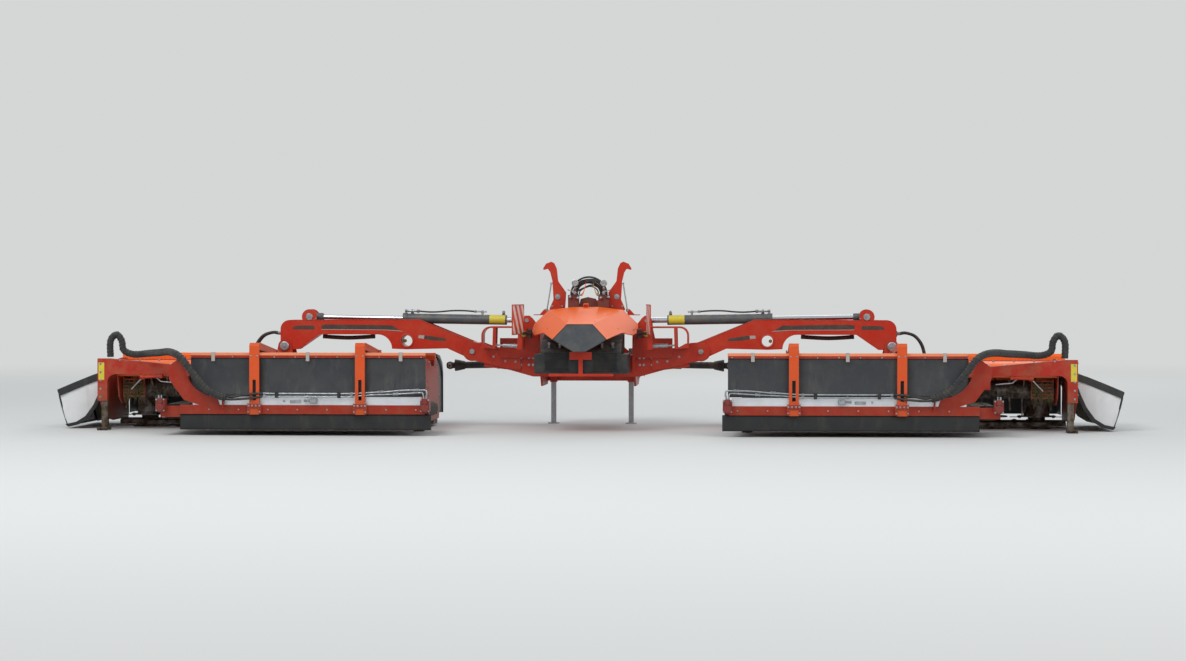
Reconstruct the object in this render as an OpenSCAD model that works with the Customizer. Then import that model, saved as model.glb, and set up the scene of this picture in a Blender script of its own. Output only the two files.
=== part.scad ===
// Rear-mounted butterfly disc mower conditioner with two swath belts.
// Millimetres. X is to the machine's right, Y is the way it travels, Z is up.
// The origin is on the ground, below the middle of the machine's box.
// Each module draws in the unit frame, whose Y = 0 is the line of the discs.

/* [Layout] */
// The disc line ahead of the origin
disc_y = 576; // [500:1:620]
// Width between the arm's rear and front faces
arm_w = 200; // [170:1:210]
// The arm's middle plane, behind the disc line
arm_y = -300; // [-305:1:-295]

/* [Cutterbar] */
// Number of discs on one bed
disc_count = 7; // [3:1:7]
// Distance from disc to disc
disc_pitch = 432; // [420:1:445]
// Inner disc's centre from the machine's middle
disc_x = 1798; // [1795:1:1805]
// Reach of a knife's tip from its disc's centre
knife_reach = 260; // [240:1:262]
// Half length of a disc
disc_reach = 188; // [170:1:200]
// Radius of the disc's long sides
disc_side_r = 300; // [280:1:400]
// Width of one knife
knife_w = 48; // [30:1:60]
// Depth of the bed, front to back
bed_depth = 300; // [260:1:320]
// Underside of the bed above the ground
bed_z = 22; // [15:1:30]
// Height of the bed's oil bath
bed_h = 50; // [40:1:60]

/* [Conditioner] */
// The rotor's axis behind the disc line
rotor_y = -660; // [-665:1:-655]
// Height of the rotor's axis
rotor_z = 400; // [395:1:410]
// Reach of a tine from the rotor's axis
tine_reach = 250; // [220:1:255]
// Radius of the rotor's tube
rotor_r = 88; // [70:1:110]
// Number of tine rings along the rotor
tine_rings = 22; // [8:1:26]
// Thickness of one tine
tine_t = 14; // [8:1:20]

/* [Mower frame] */
// Inner face of the unit from the machine's middle
unit_x0 = 1516; // [1510:1:1520]
// Outer face of the unit from the machine's middle
unit_x1 = 4670; // [4665:1:4700]
// Thickness of the end plates
end_t = 10; // [6:1:14]
// Top of the main beam
main_top = 660; // [640:1:665]
// Side of the square main beam
main_w = 120; // [100:1:130]
// Top of the rear beam
rear_top = 690; // [670:1:695]
// Depth of the rear beam, front to back
rear_w = 80; // [60:1:100]
// Unit's swing pin from the machine's middle
swing_x = 2960; // [2950:1:2970]
// Height of the swing pin
swing_z = 800; // [795:1:810]

/* [Arm and lift cylinder] */
// Fold pin from the machine's middle
fold_x = 1115; // [1110:1:1120]
// Height of the fold pin
fold_z = 750; // [745:1:755]
// Radius of the fold pin
fold_r = 25; // [20:0.5:30]
// Height of the arm's top edge
arm_top = 1062; // [1040:1:1070]
// Underside of the arch
arch_z = 914; // [900:1:930]
// Thickness of the arm's side plates
arm_plate = 12; // [8:1:16]
// Cylinder's inner pin from the machine's middle
anchor_x = 586; // [580:1:592]
// Height of the cylinder's inner pin
anchor_z = 1052; // [1045:1:1060]
// Cylinder's outer eye from the machine's middle
eye_x = 2720; // [2715:1:2725]
// Height of the cylinder's outer eye
eye_z = 1086; // [1080:1:1090]
// Radius of the cylinder's barrel
barrel_r = 48; // [40:1:50]
// Radius of the chrome rod
rod_r = 22.5; // [18:0.5:26]
// Length of the barrel
barrel_len = 1020; // [980:1:1040]

/* [Swath belt] */
// Rear edge of the belt behind the disc line
belt_y0 = -1800; // [-1810:1:-1780]
// Front edge of the belt behind the disc line
belt_y1 = -1065; // [-1080:1:-1060]
// Inner roller from the machine's middle
belt_x0 = 1440; // [1430:1:1450]
// Outer roller from the machine's middle
belt_x1 = 3800; // [3780:1:3810]
// Height of the rollers' axes
belt_z = 222; // [215:1:230]
// Radius of the rollers
roller_r = 60; // [50:1:62]
// Thickness of the belt
belt_t = 8; // [5:1:10]
// Belt unit's hinge behind the disc line
lift_y = -980; // [-985:1:-975]
// Height of the belt unit's hinge
lift_z = 748; // [745:1:752]
// Width of a carrying arm
carry_w = 90; // [70:1:100]
// Inner end of the curtain from the machine's middle
curtain_x0 = 1392; // [1385:1:1400]
// Outer end of the curtain from the machine's middle
curtain_x1 = 3578; // [3500:1:3590]
// Top of the curtain
curtain_top = 768; // [755:1:775]
// Bottom edge of the rubber flap
flap_z = 55; // [40:1:80]

/* [Guards] */
// Hinge of the front guard ahead of the disc line
front_hinge_y = 60; // [50:1:70]
// Height of the front guard's hinge
front_hinge_z = 700; // [695:1:705]
// Front guard's reach ahead of the disc line
front_reach = 575; // [540:1:600]
// Hinge of the side guard from the machine's middle
side_hinge_x = 4706; // [4700:1:4712]
// Height of the side guard's hinge
side_hinge_z = 548; // [540:1:556]
// How far the side guard reaches out from its hinge
side_depth = 444; // [400:1:480]

/* [Headstock] */
// Height of the lower hitch pins
hitch_z = 500; // [490:1:510]
// Distance between the lower hitch pins' middles
hitch_span = 965; // [960:1:970]
// Hitch plane ahead of the disc line
hitch_y = 800; // [790:1:810]
// Radius of the lower hitch pins
hitch_r = 18.3; // [14:0.1:18.5]
// Height of the top link's bore over the lower pins
mast_h = 685; // [680:1:690]
// Radius of the top link's bore
top_r = 16.1; // [12.8:0.1:16.5]
// Outer face of the longitudinal side plates
side_x = 470; // [465:1:475]
// Radius of the splined input stub
stub_r = 17.45; // [17:0.05:20]
// Height of the input stub
stub_z = 640; // [630:1:650]
// Fit left around pins and between seated faces
fit = 0.3; // [0.2:0.1:0.5]

/* [Hidden] */
$fn = 64;
arm_y0 = arm_y - arm_w / 2;
arm_y1 = arm_y + arm_w / 2;
bed_x1 = unit_x1 - 50;
disc_z = bed_z + bed_h + 32;
main_y0 = -160;
main_y1 = main_y0 + main_w;
rear_y0 = -1020;
rear_y1 = rear_y0 + rear_w;
hood_r = tine_reach + 12;
sheet = 5;
rotor_x0 = 1720;
rotor_x1 = 4480;
ear_t = 12;
ear_gap = 8;
lift_len = norm([eye_x - anchor_x, eye_z - anchor_z]);
lift_tilt = atan2(eye_z - anchor_z, eye_x - anchor_x);
barrel_x0 = 200;
carry_y0 = -1925;
carry_y1 = carry_y0 + 37;
carry_xs = [1994, 2977];
arm_eye_r = 95;
shaft_x0 = 340;
shaft_x1 = 1385;
shaft_z0 = 620;
shaft_z1 = 600;
shaft_y = 50;
stand_x = 392;
stand_y = 580;
hitch_plate = 24;
hitch_grip = 82;
hitch_in = hitch_span / 2 - hitch_grip / 2 - 10;
cage_ys = [-640, -456];
cage_t = 14;
cage_top = 997;
cage_r = 88;
cage_bar = 16;
beam_dip = 62;
clip_x = 3270;
clip_y = -1968 + 36 + fit;
tank_x = 440;
foot_z = 198;
foot_w = 124;
board_z = 925;
board_h = 282;
board_y = -1164;
board_out = 56;
SIDES = [["left", -1], ["right", 1]];
red = "#c8321c";
orange = "#e8602c";
dark = "#33363a";
steel = "#9ea1a3";

// A block given by its lowest and highest corners
module block(lo, hi) translate(lo) cube(hi - lo);

// A plate whose outline lies in X and Z
module plate_xz(y0, y1) translate([0, y1, 0]) rotate([90, 0, 0]) linear_extrude(y1 - y0) children();

// A plate whose outline lies in Y and Z
module plate_yz(x0, x1) translate([x0, 0, 0]) rotate([90, 0, 90]) linear_extrude(x1 - x0) children();

// A round bar along Y
module bar_y(x, z, r, y0, y1) translate([x, y0, z]) rotate([-90, 0, 0]) cylinder(r = r, h = y1 - y0);

// A round bar along X
module bar_x(y, z, r, x0, x1) translate([x0, y, z]) rotate([0, 90, 0]) cylinder(r = r, h = x1 - x0);

// Draws the unit frame's children on the side s, 1 for right and -1 for left
module placed(s = 1) mirror([s < 0 ? 1 : 0, 0, 0]) translate([0, disc_y, 0]) children();

// Points on an arc round c, from angle a0 to a1
function arc(c, r, a0, a1, n = 8) =
    [for (i = [0 : n]) c + r * [cos(a0 + (a1 - a0) * i / n), sin(a0 + (a1 - a0) * i / n)]];

// A point on the smooth curve through four points
function spline_at(a, b, c, d, t) = 0.5 * (2 * b + (c - a) * t + (2 * a - 5 * b + 4 * c - d) * t * t
    + (3 * b - a - 3 * c + d) * t * t * t);
function smooth(p, n) = let (m = len(p) - 1) concat(
    [for (i = [0 : m - 1]) for (k = [0 : n - 1])
        spline_at(p[max(i - 1, 0)], p[i], p[i + 1], p[min(i + 2, m)], k / n)], [p[m]]);
function unit(v) = v / norm(v);
function ring(p, d, r, n) = let (u = unit(cross(d, [0.1, 1, 0.05])), w = cross(d, u))
    [for (k = [0 : n - 1]) p + r * (cos(360 * k / n) * u + sin(360 * k / n) * w)];

// A hose of radius r swept along the points
module hose(points, r, sides = 8, steps = 2) {
    path = smooth(points, steps);
    m = len(path);
    rings = [for (i = [0 : m - 1])
        each ring(path[i], unit(path[min(i + 1, m - 1)] - path[max(i - 1, 0)]), r, sides)];
    walls = [for (i = [0 : m - 2]) for (k = [0 : sides - 1])
        let (a = i * sides + k, b = i * sides + (k + 1) % sides) [a + sides, b + sides, b, a]];
    ends = [[for (k = [0 : sides - 1]) k], [for (k = [sides - 1 : -1 : 0]) (m - 1) * sides + k]];
    polyhedron(rings, concat(walls, ends), convexity = 6);
}

// Side view of the arm, seen from behind
module arm_outline() {
    polygon(concat([[fold_x - 30, fold_z + 88], [1633, arm_top], [2915, arm_top - 7], [3005, 965],
        [3005, 768], [2833, 768], [2620, arch_z]],
        arc([2045, arch_z - 140], 140, 90, 180),
        [[1759, 768], [1361, 778], [fold_x - 20, fold_z - 92]]));
    translate([fold_x, fold_z]) circle(r = arm_eye_r);
    translate([2915, 965]) circle(r = 90);
}

// The same with the ear at the cylinder's outer eye
module arm_side() {
    arm_outline();
    translate([eye_x, eye_z]) circle(r = 74);
}

// Arched box girder that carries a mower, open on top for the cylinder
module arm() color(red) difference() {
    union() {
        plate_xz(arm_y0, arm_y0 + arm_plate) arm_side();
        plate_xz(arm_y1 - arm_plate, arm_y1) arm_side();
        plate_xz(arm_y0 + 1, arm_y1 - 1) {
            intersection() {
                arm_outline();
                translate([0, -105]) arm_outline();
            }
            translate([fold_x, fold_z]) circle(r = arm_eye_r);
            intersection() {
                arm_outline();
                translate([2850, 700]) square([200, 300]);
            }
        }
        bar_y(swing_x, swing_z, 30, arm_y0 - ear_gap - ear_t - 16, arm_y1 + ear_gap + ear_t + 16);
        bar_y(swing_x, swing_z, 46, arm_y0 - ear_gap - ear_t - 16, arm_y0 - ear_gap - ear_t - 5);
    }
    bar_y(fold_x, fold_z, fold_r, arm_y0 - 1, arm_y1 + 1);
    bar_y(1759, 852, 54, arm_y0 - 1, arm_y1 + 1);
}

// Draws along the lift cylinder's line, from its inner pin
module along_lift() translate([anchor_x, arm_y, anchor_z]) rotate([0, -lift_tilt, 0]) children();

// Barrel with its base eye, hollow for the rod
module lift_cylinder() color(dark) along_lift() difference() {
    union() {
        bar_y(0, 0, 44, -28, 28);
        bar_x(0, 0, 26, 30, barrel_x0 + 5);
        bar_x(0, 0, barrel_r, barrel_x0, barrel_x0 + barrel_len);
        bar_x(0, 0, barrel_r + 4, barrel_x0 + barrel_len - 45, barrel_x0 + barrel_len);
    }
    bar_y(0, 0, 20, -29, 29);
    bar_x(0, 0, rod_r + fit, barrel_x0 + 40, barrel_x0 + barrel_len + 1);
}

// Chrome rod with its eye and pin
module lift_rod() color("silver") along_lift() {
    bar_x(0, 0, rod_r, barrel_x0 + barrel_len - 200, lift_len - 30);
    bar_y(lift_len, 0, 44, -28, 28);
    bar_y(lift_len, 0, 20, -arm_w / 2 + arm_plate + 6, arm_w / 2 - arm_plate - 6);
}

// Hoses clipped below the arch and bowed over the arm's outer end
module arm_hoses() color("#1c1d1f") {
    low = arch_z - 20 - fit;
    hose([[2085, arm_y, low], [2200, arm_y, low - 8], [2350, arm_y, low - 14],
        [2500, arm_y, low - 8], [2600, arm_y, low]], 20);
    for (y = [-34, 0, 34])
        hose([[3005 + 0.8, arm_y + y, 925], [3040, arm_y + y, 925], [3095, arm_y + y, 932], [3180, arm_y + y, 905],
            [3245, arm_y + y, 840], [3275, arm_y + y, 760]], 15);
}

// Guarded drive shaft from the central gearbox to a mower
module drive_shaft() color("#2b2b2b") {
    tilt = atan2(shaft_z1 - shaft_z0, shaft_x1 - shaft_x0);
    run = norm([shaft_x1 - shaft_x0, shaft_z1 - shaft_z0]);
    slip = run * 0.55;
    translate([shaft_x0, shaft_y, shaft_z0]) rotate([0, 90 - tilt, 0]) {
        rotate_extrude()
            polygon([[0, -38], [26, -32], [38, -10], [38, 12], [30, 30], [30, 60], [62, 60], [62, 70],
                [42, 180], [42, slip], [34, slip], [34, run - 150], [40, run - 150], [58, run - 60],
                [58, run - 50], [30, run - 50], [30, run - 28], [38, run - 10], [38, run + 10],
                [26, run + 32], [0, run + 38]]);
        for (z = [0, run]) translate([0, 0, z]) bar_y(0, 0, 13, -46, 46);
    }
}

// Side plate of the mower, seen from its end
module end_outline() polygon([[200, 70], [228, 120], [190, 520], [30, 672], [main_y1, main_top],
    [main_y0, main_top], [-190, 600], [-430, 600], [-520, 660], [-700, 680], [rear_y1, rear_top],
    [rear_y0, rear_top], [rear_y0, 284], [rear_y1 - 8, 284], [-760, 110], [-420, 70]]);

// Bearing plate at one end of the rotor
module bearing_outline() polygon([[main_y0 + 10, 545], [main_y0 + 10, 600], [-430, 600], [-500, 650],
    [-560, 688], [-760, 694], [rear_y1 - 10, 680], [rear_y1 - 10, 570], [-880, 320], [-760, 250],
    [-560, 250], [-420, 340], [-380, 500]]);

// Rear beam with the arch over the crop's outlet, seen from behind
module portal_outline() polygon(concat(
    [[unit_x1, 284], [unit_x1, rear_top], [4560, rear_top], [3880, rear_top - beam_dip],
     [3700, rear_top - beam_dip], [3640, rear_top], [unit_x0, rear_top], [unit_x0, 284],
     [unit_x0 + 60, 284], [unit_x0 + 60, 560], [3740, 560], [3790, 520], [3790, 408], [3852, 408]],
    arc([3912, 480], 60, 180, 90, 4), arc([4495, 460], 80, 90, 0, 6), [[4575, 284]]));

// Welded frame that carries the cutterbar, rotor and covers
module mower_frame() color(red) difference() {
    union() {
        block([unit_x0, main_y0, main_top - main_w], [unit_x1, main_y1, main_top]);
        plate_yz(unit_x0, unit_x0 + end_t) end_outline();
        plate_yz(unit_x1 - end_t, unit_x1) end_outline();
        plate_xz(rear_y0, rear_y1) portal_outline();
        for (x = [rotor_x0 - 20, rotor_x1 + 8]) plate_yz(x, x + 12) bearing_outline();
        block([2840, arm_y0 - ear_gap - ear_t, 560], [3080, main_y0 + 10, 640]);
        for (y = [arm_y0 - ear_gap - ear_t, arm_y1 + ear_gap])
            plate_xz(y, y + ear_t) swing_ear();
        spine_z = rotor_z + hood_r + sheet + fit;
        block([2900, rear_y1 - 5, spine_z], [3020, arm_y0 - ear_gap - ear_t + 6, spine_z + 66]);
        for (x = carry_xs) for (dx = [-carry_w / 2 - 18, carry_w / 2 + 4])
            plate_yz(x + dx, x + dx + 14) polygon([[rear_y0 + 8, rear_top - 20],
                [rear_y0 + 8, lift_z], [lift_y - 20, lift_z + 28], [lift_y + 20, lift_z + 28],
                [rear_y1 - 2, lift_z], [rear_y1 - 2, rear_top - 20]]);
        for (y = [-600, -160, 60])
            block([unit_x1 - 1, y, side_hinge_z - 16], [side_hinge_x - 12 - fit, y + 60, side_hinge_z + 16]);
    }
    bar_y(swing_x, swing_z, 30 + fit, arm_y0 - 60, arm_y1 + 60);
    for (x = [rotor_x0 - 21, rotor_x1 + 7]) bar_x(rotor_y, rotor_z, 30 + fit, x, x + 14);
    for (x = carry_xs) bar_x(lift_y, lift_z, 15 + fit, x - carry_w, x + carry_w);
}

// Ear that hangs the mower on the arm's swing pin
module swing_ear() {
    polygon([[2850, 600], [2895, swing_z], [3025, swing_z], [3070, 600]]);
    translate([swing_x, swing_z]) circle(r = 65);
}

// Sheet covers over the rotor and along the front of the main beam
module mower_hood() color(orange) difference() {
    c = [rotor_y, rotor_z];
    tail = c + hood_r * [cos(130), sin(130)] + 128 * [-sin(130), cos(130)];
    union() {
        plate_yz(rotor_x0 - 8 + fit, rotor_x1 + 8 - fit) {
            polygon(concat(arc(c, hood_r + sheet, 8, 130, 20), [tail + sheet * [cos(130), sin(130)], tail],
                arc(c, hood_r, 130, 8, 20)));
            translate([-474, 588]) square([474 + main_y0 - fit, 6]);
        }
        plate_yz(unit_x0 + end_t + fit, unit_x1 - end_t - fit) polygon([[main_y1 + fit, 600],
            [main_y1 + fit, 700], [-10, 724], [30, 724], [front_hinge_y - 12 - fit, 706],
            [front_hinge_y - 12 - fit, 680], [10, 640]]);
    }
    block([2840 - fit, arm_y0 - ear_gap - ear_t - fit, 580], [3080 + fit, main_y0, 650]);
}

// Oil-bath bed with skids, disc hubs, inner gearbox and rear skids
module cutterbar() color("#6b5a4c") {
    gear_x0 = unit_x0 + end_t + fit;
    plate_yz(gear_x0, unit_x1 - end_t - fit) polygon([[-bed_depth / 2, bed_z],
        [-bed_depth / 2, bed_z + bed_h - 14], [-bed_depth / 2 + 36, bed_z + bed_h],
        [bed_depth / 2 - 20, bed_z + bed_h], [bed_depth / 2 + 22, bed_z + 28],
        [bed_depth / 2, bed_z]]);
    for (i = [0 : disc_count - 1]) translate([disc_x + i * disc_pitch, 0, 0]) {
        plate_yz(-110, 110) polygon(concat([[176, 56], [182, 48]], arc([60, 160], 160, -44, -90, 4),
            [[-250, 0], [-290, 18], [-284, 25], [-246, 9], [-140, 9], [-140, bed_z + 4],
             [140, bed_z + 4], [150, 34]]));
        translate([0, 0, bed_z + bed_h - 2]) cylinder(r = 84, h = disc_z - bed_z - bed_h + 2 - fit);
    }
    for (x = [unit_x0, unit_x1 - 95]) {
        block([x, rear_y0 + 10, 8], [x + 60, rear_y1 - 10, 284 - fit]);
        plate_yz(x, x + 95) polygon([[rear_y0 - 40, 26], [rear_y0 - 20, 0], [rear_y1 + 60, 0],
            [rear_y1 + 100, 26], [rear_y1 + 92, 34], [rear_y1 + 56, 10], [rear_y0 - 16, 10],
            [rear_y0 - 33, 32]]);
    }
}

// Oval disc with two knives, and a drum on the two end discs
module disc(i) {
    turn = i % 2 == 0 ? 0 : 90;
    end_disc = i == 0 || i == disc_count - 1;
    color(steel) translate([disc_x + i * disc_pitch, 0, disc_z]) rotate([0, 0, turn]) {
        translate([0, 0, 4]) linear_extrude(9) intersection() {
            circle(r = disc_reach);
            translate([0, 150]) circle(r = disc_side_r);
            translate([0, -150]) circle(r = disc_side_r);
        }
        cylinder(r = 84, h = 6);
        if (end_disc) {
            translate([0, 0, 12]) cylinder(r1 = 128, r2 = 104, h = 230);
            translate([0, 0, 240]) cylinder(r = 124, h = 8);
        } else {
            translate([0, 0, 12]) cylinder(r1 = 96, r2 = 42, h = 34);
            translate([0, 0, 44]) cylinder(r = 24, h = 14);
        }
        for (a = [0, 180]) rotate([0, 0, a])
            block([disc_reach - 42, -knife_w / 2, -1], [knife_reach, knife_w / 2, 5]);
    }
}

// Rotor with rings of three swept tines, each ring turned from the last
module conditioner_rotor() color("#55504a") {
    step = (rotor_x1 - rotor_x0 - 80) / (tine_rings - 1);
    bar_x(rotor_y, rotor_z, rotor_r, rotor_x0, rotor_x1);
    bar_x(rotor_y, rotor_z, 30, rotor_x0 - 20, rotor_x1 + 20);
    for (i = [0 : tine_rings - 1])
        plate_yz(rotor_x0 + 33 + i * step, rotor_x0 + 33 + i * step + tine_t)
            translate([rotor_y, rotor_z]) for (a = [0, 120, 240]) rotate(a + i * 40)
                polygon([[rotor_r - 12, -26], [rotor_r + 60, -20], [tine_reach - 6, -52],
                    [tine_reach - 4, -30], [rotor_r + 62, 8], [rotor_r - 12, 20]]);
}

// Hinged front guard: a bent sheet with ribs and a skirt in front of the discs
module front_guard() color("#3a3d40") {
    y = front_hinge_y;
    z = front_hinge_z;
    f = front_reach;
    plate_yz(unit_x0, unit_x1) polygon([[y + 2, z + 12], [y + 240, z - 10], [f - 70, z - 85], [f, z - 190],
        [f, 110], [f - 6, 110], [f - 6, z - 190], [f - 74, z - 91], [y + 238, z - 16], [y + 2, z + 6]]);
    for (x = [unit_x0, unit_x1 - 6, 2200, 3000, 3800]) plate_yz(x, x + 6)
        polygon([[y + 6, z + 6], [y + 240, z - 12], [f - 72, z - 88], [f - 3, z - 190],
            [f - 3, z - 240], [f - 90, z - 130], [y + 230, z - 50], [y + 20, z - 14]]);
    for (i = [0 : 5]) bar_x(y, z, 12, unit_x0 + 60 + i * 580, unit_x0 + 180 + i * 580);
}

// Side guard: canvas over a tube, closed at both ends
module side_guard() color("#e4e5e3") {
    x0 = side_hinge_x;
    x1 = x0 + side_depth;
    panel = concat([[x0 - 31, 440], [x0 - 31, 548], [x0 - 16, 562], [x1, 375], [x1 - 94, 20]],
        arc([x1 - 90, 400], side_depth - 59, -110, -155, 6));
    for (y = [-700, 442]) plate_xz(y, y + 8) polygon(panel);
    plate_xz(-700, 450) polygon([[x0 - 4, 557], [x1, 375], [x1 - 4, 360], [x0 - 6, 542]]);
    plate_xz(-700, 450) polygon([[x1, 375], [x1 - 94, 20], [x1 - 104, 22], [x1 - 12, 370]]);
    for (y = [-640, -200, 20]) bar_y(x0, side_hinge_z, 12, y, y + 140);
}

// Two bent arms that carry the belt unit from its lift pins, with bolted feet on the beam
module carrying_arms() color(orange) {
    rear = carry_y1 - fit;
    for (x = carry_xs) {
        difference() {
            plate_yz(x - carry_w / 2, x + carry_w / 2) polygon([[lift_y + 28, lift_z], [lift_y, lift_z - 26],
                [rear, 795], [rear, foot_z], [carry_y0, foot_z], [carry_y0, 832], [carry_y0 + 30, 860],
                [-1840, 860], [lift_y - 10, lift_z + 28], [lift_y + 20, lift_z + 22]]);
            block([x - 16, carry_y0 - 1, 330], [x + 16, rear + 1, 520]);
        }
        block([x - foot_w / 2, carry_y0 - 9, foot_z + 60], [x + foot_w / 2, carry_y0 + 1, foot_z + 104]);
        for (s = [-1, 1]) block([x + s * (foot_w / 2 - 9) - 9, carry_y0 - 9, foot_z + 4],
            [x + s * (foot_w / 2 - 9) + 9, rear, foot_z + 84]);
        bar_x(lift_y, lift_z, 15, x - carry_w / 2 - 18, x + carry_w / 2 + 18);
    }
}

// Beam, side plates, rear strip, gussets and motor blocks of the belt unit
module belt_frame() color(red) {
    rear = carry_y1;
    top = belt_z + roller_r + belt_t;
    for (x = carry_xs) block([x - 45, rear, 201], [x + 45, belt_y1 + 16, 250]);
    block([1400, rear, 201], [3680, rear + 40, 285]);
    block([belt_x0 - 80, rear + 36, 170], [belt_x1 + 70, rear + 50, 275]);
    block([belt_x0 - 60, belt_y1 + 10, 170], [belt_x1 + 40, belt_y1 + 26, 270]);
    block([curtain_x0, rear, curtain_top - 46], [curtain_x1, rear + 18, curtain_top]);
    plate_xz(rear - 2, rear + 6) difference() {
        polygon([[3300, 262], [3420, 262], [3640, 330], [3780, 520], [3790, 640], [3700, 705],
            [curtain_x1 - 30, curtain_top - 4], [3400, 600]]);
        translate([3330, 660]) circle(r = 300);
    }
    block([clip_x - 8, clip_y, 262], [clip_x + 8, rear + 1, 385]);
    for (x = [belt_x0 - 90, belt_x1 + 10]) {
        block([x, rear - 60, belt_z + 10], [x + 78, rear + 40, belt_z + 118]);
        bar_y(x + 39, belt_z + 40, 30, rear - 96, rear - 50);
    }
}

// Endless rubber belt round its two rollers
module belt_loop() color("#232426") {
    plate_xz(belt_y0, belt_y1) difference() {
        stadium(roller_r + belt_t);
        stadium(roller_r);
    }
    for (x = [belt_x0, belt_x1]) {
        bar_y(x, belt_z, roller_r + 1, belt_y0 + 5, belt_y1 - 5);
        bar_y(x, belt_z, 20, carry_y1 + 50 + fit, belt_y1 + 10 - fit);
    }
}

module stadium(r) {
    translate([belt_x0, belt_z]) circle(r = r);
    translate([belt_x1, belt_z]) circle(r = r);
    translate([belt_x0, belt_z - r]) square([belt_x1 - belt_x0, 2 * r]);
}

// Bright rail on the rear beam, in three runs between the carrying arms
module belt_rail() color("silver") {
    rear = carry_y1;
    z = 285 + fit;
    for (run = [[belt_x0 - 12 + fit, carry_xs[0] - 45 - fit], [carry_xs[0] + 45 + fit, carry_xs[1] - 45 - fit],
                [carry_xs[1] + 45 + fit, 3560]])
        plate_yz(run[0], run[1]) polygon([[rear + 7, z], [rear + 7, 362], [rear + 11, 362],
            [rear + 11, z + 4], [rear + 34, z + 4], [rear + 34, z]]);
}

// Slightly hollow curtain above the belt and the rubber flap below the beam
module belt_curtains() color(dark) {
    r = 1100;
    top = curtain_top - 46 - fit;
    mid = (top + 366) / 2;
    back = sqrt(r * r - pow((top - 366) / 2, 2));
    difference() {
        plate_yz(curtain_x0, curtain_x1) intersection() {
            translate([carry_y1 + 14 + fit - back, mid]) difference() {
                circle(r = r, $fn = 360);
                circle(r = r - 8, $fn = 360);
            }
            translate([carry_y1 + 5, 366]) square([200, top - 366]);
        }
    }
    block([belt_x0 - 100, carry_y1 + 14, flap_z], [3680, carry_y1 + 22, 201 - fit]);
}

// Sleeved hose bundle from the belt motors to the portal
module belt_hoses() color("#1c1d1f")
    hose([[3238, -1968, 356], [3270, -1968, 363], [3340, -1968, 388], [3430, -1968, 448],
        [3550, -1968, 590], [3655, -1955, 725], [3790, -1800, 772], [3990, -1380, 756],
        [4160, -1085, 742], [4320, -1000, 731], [4420, -990, 770], [4440, -985, 860],
        [4490, -985, 920], [4550, -985, 860], [4550, -985, 704]], 36, 10, 2);

// Side plate of the headstock, seen from the side
module cheek_outline() polygon([[-450, 560], [-450, 860], [-380, 960], [-120, 960], [200, 900],
    [620, 900], [700, 760], [700, 470], [560, 400], [-60, 400], [-200, 540]]);

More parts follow.
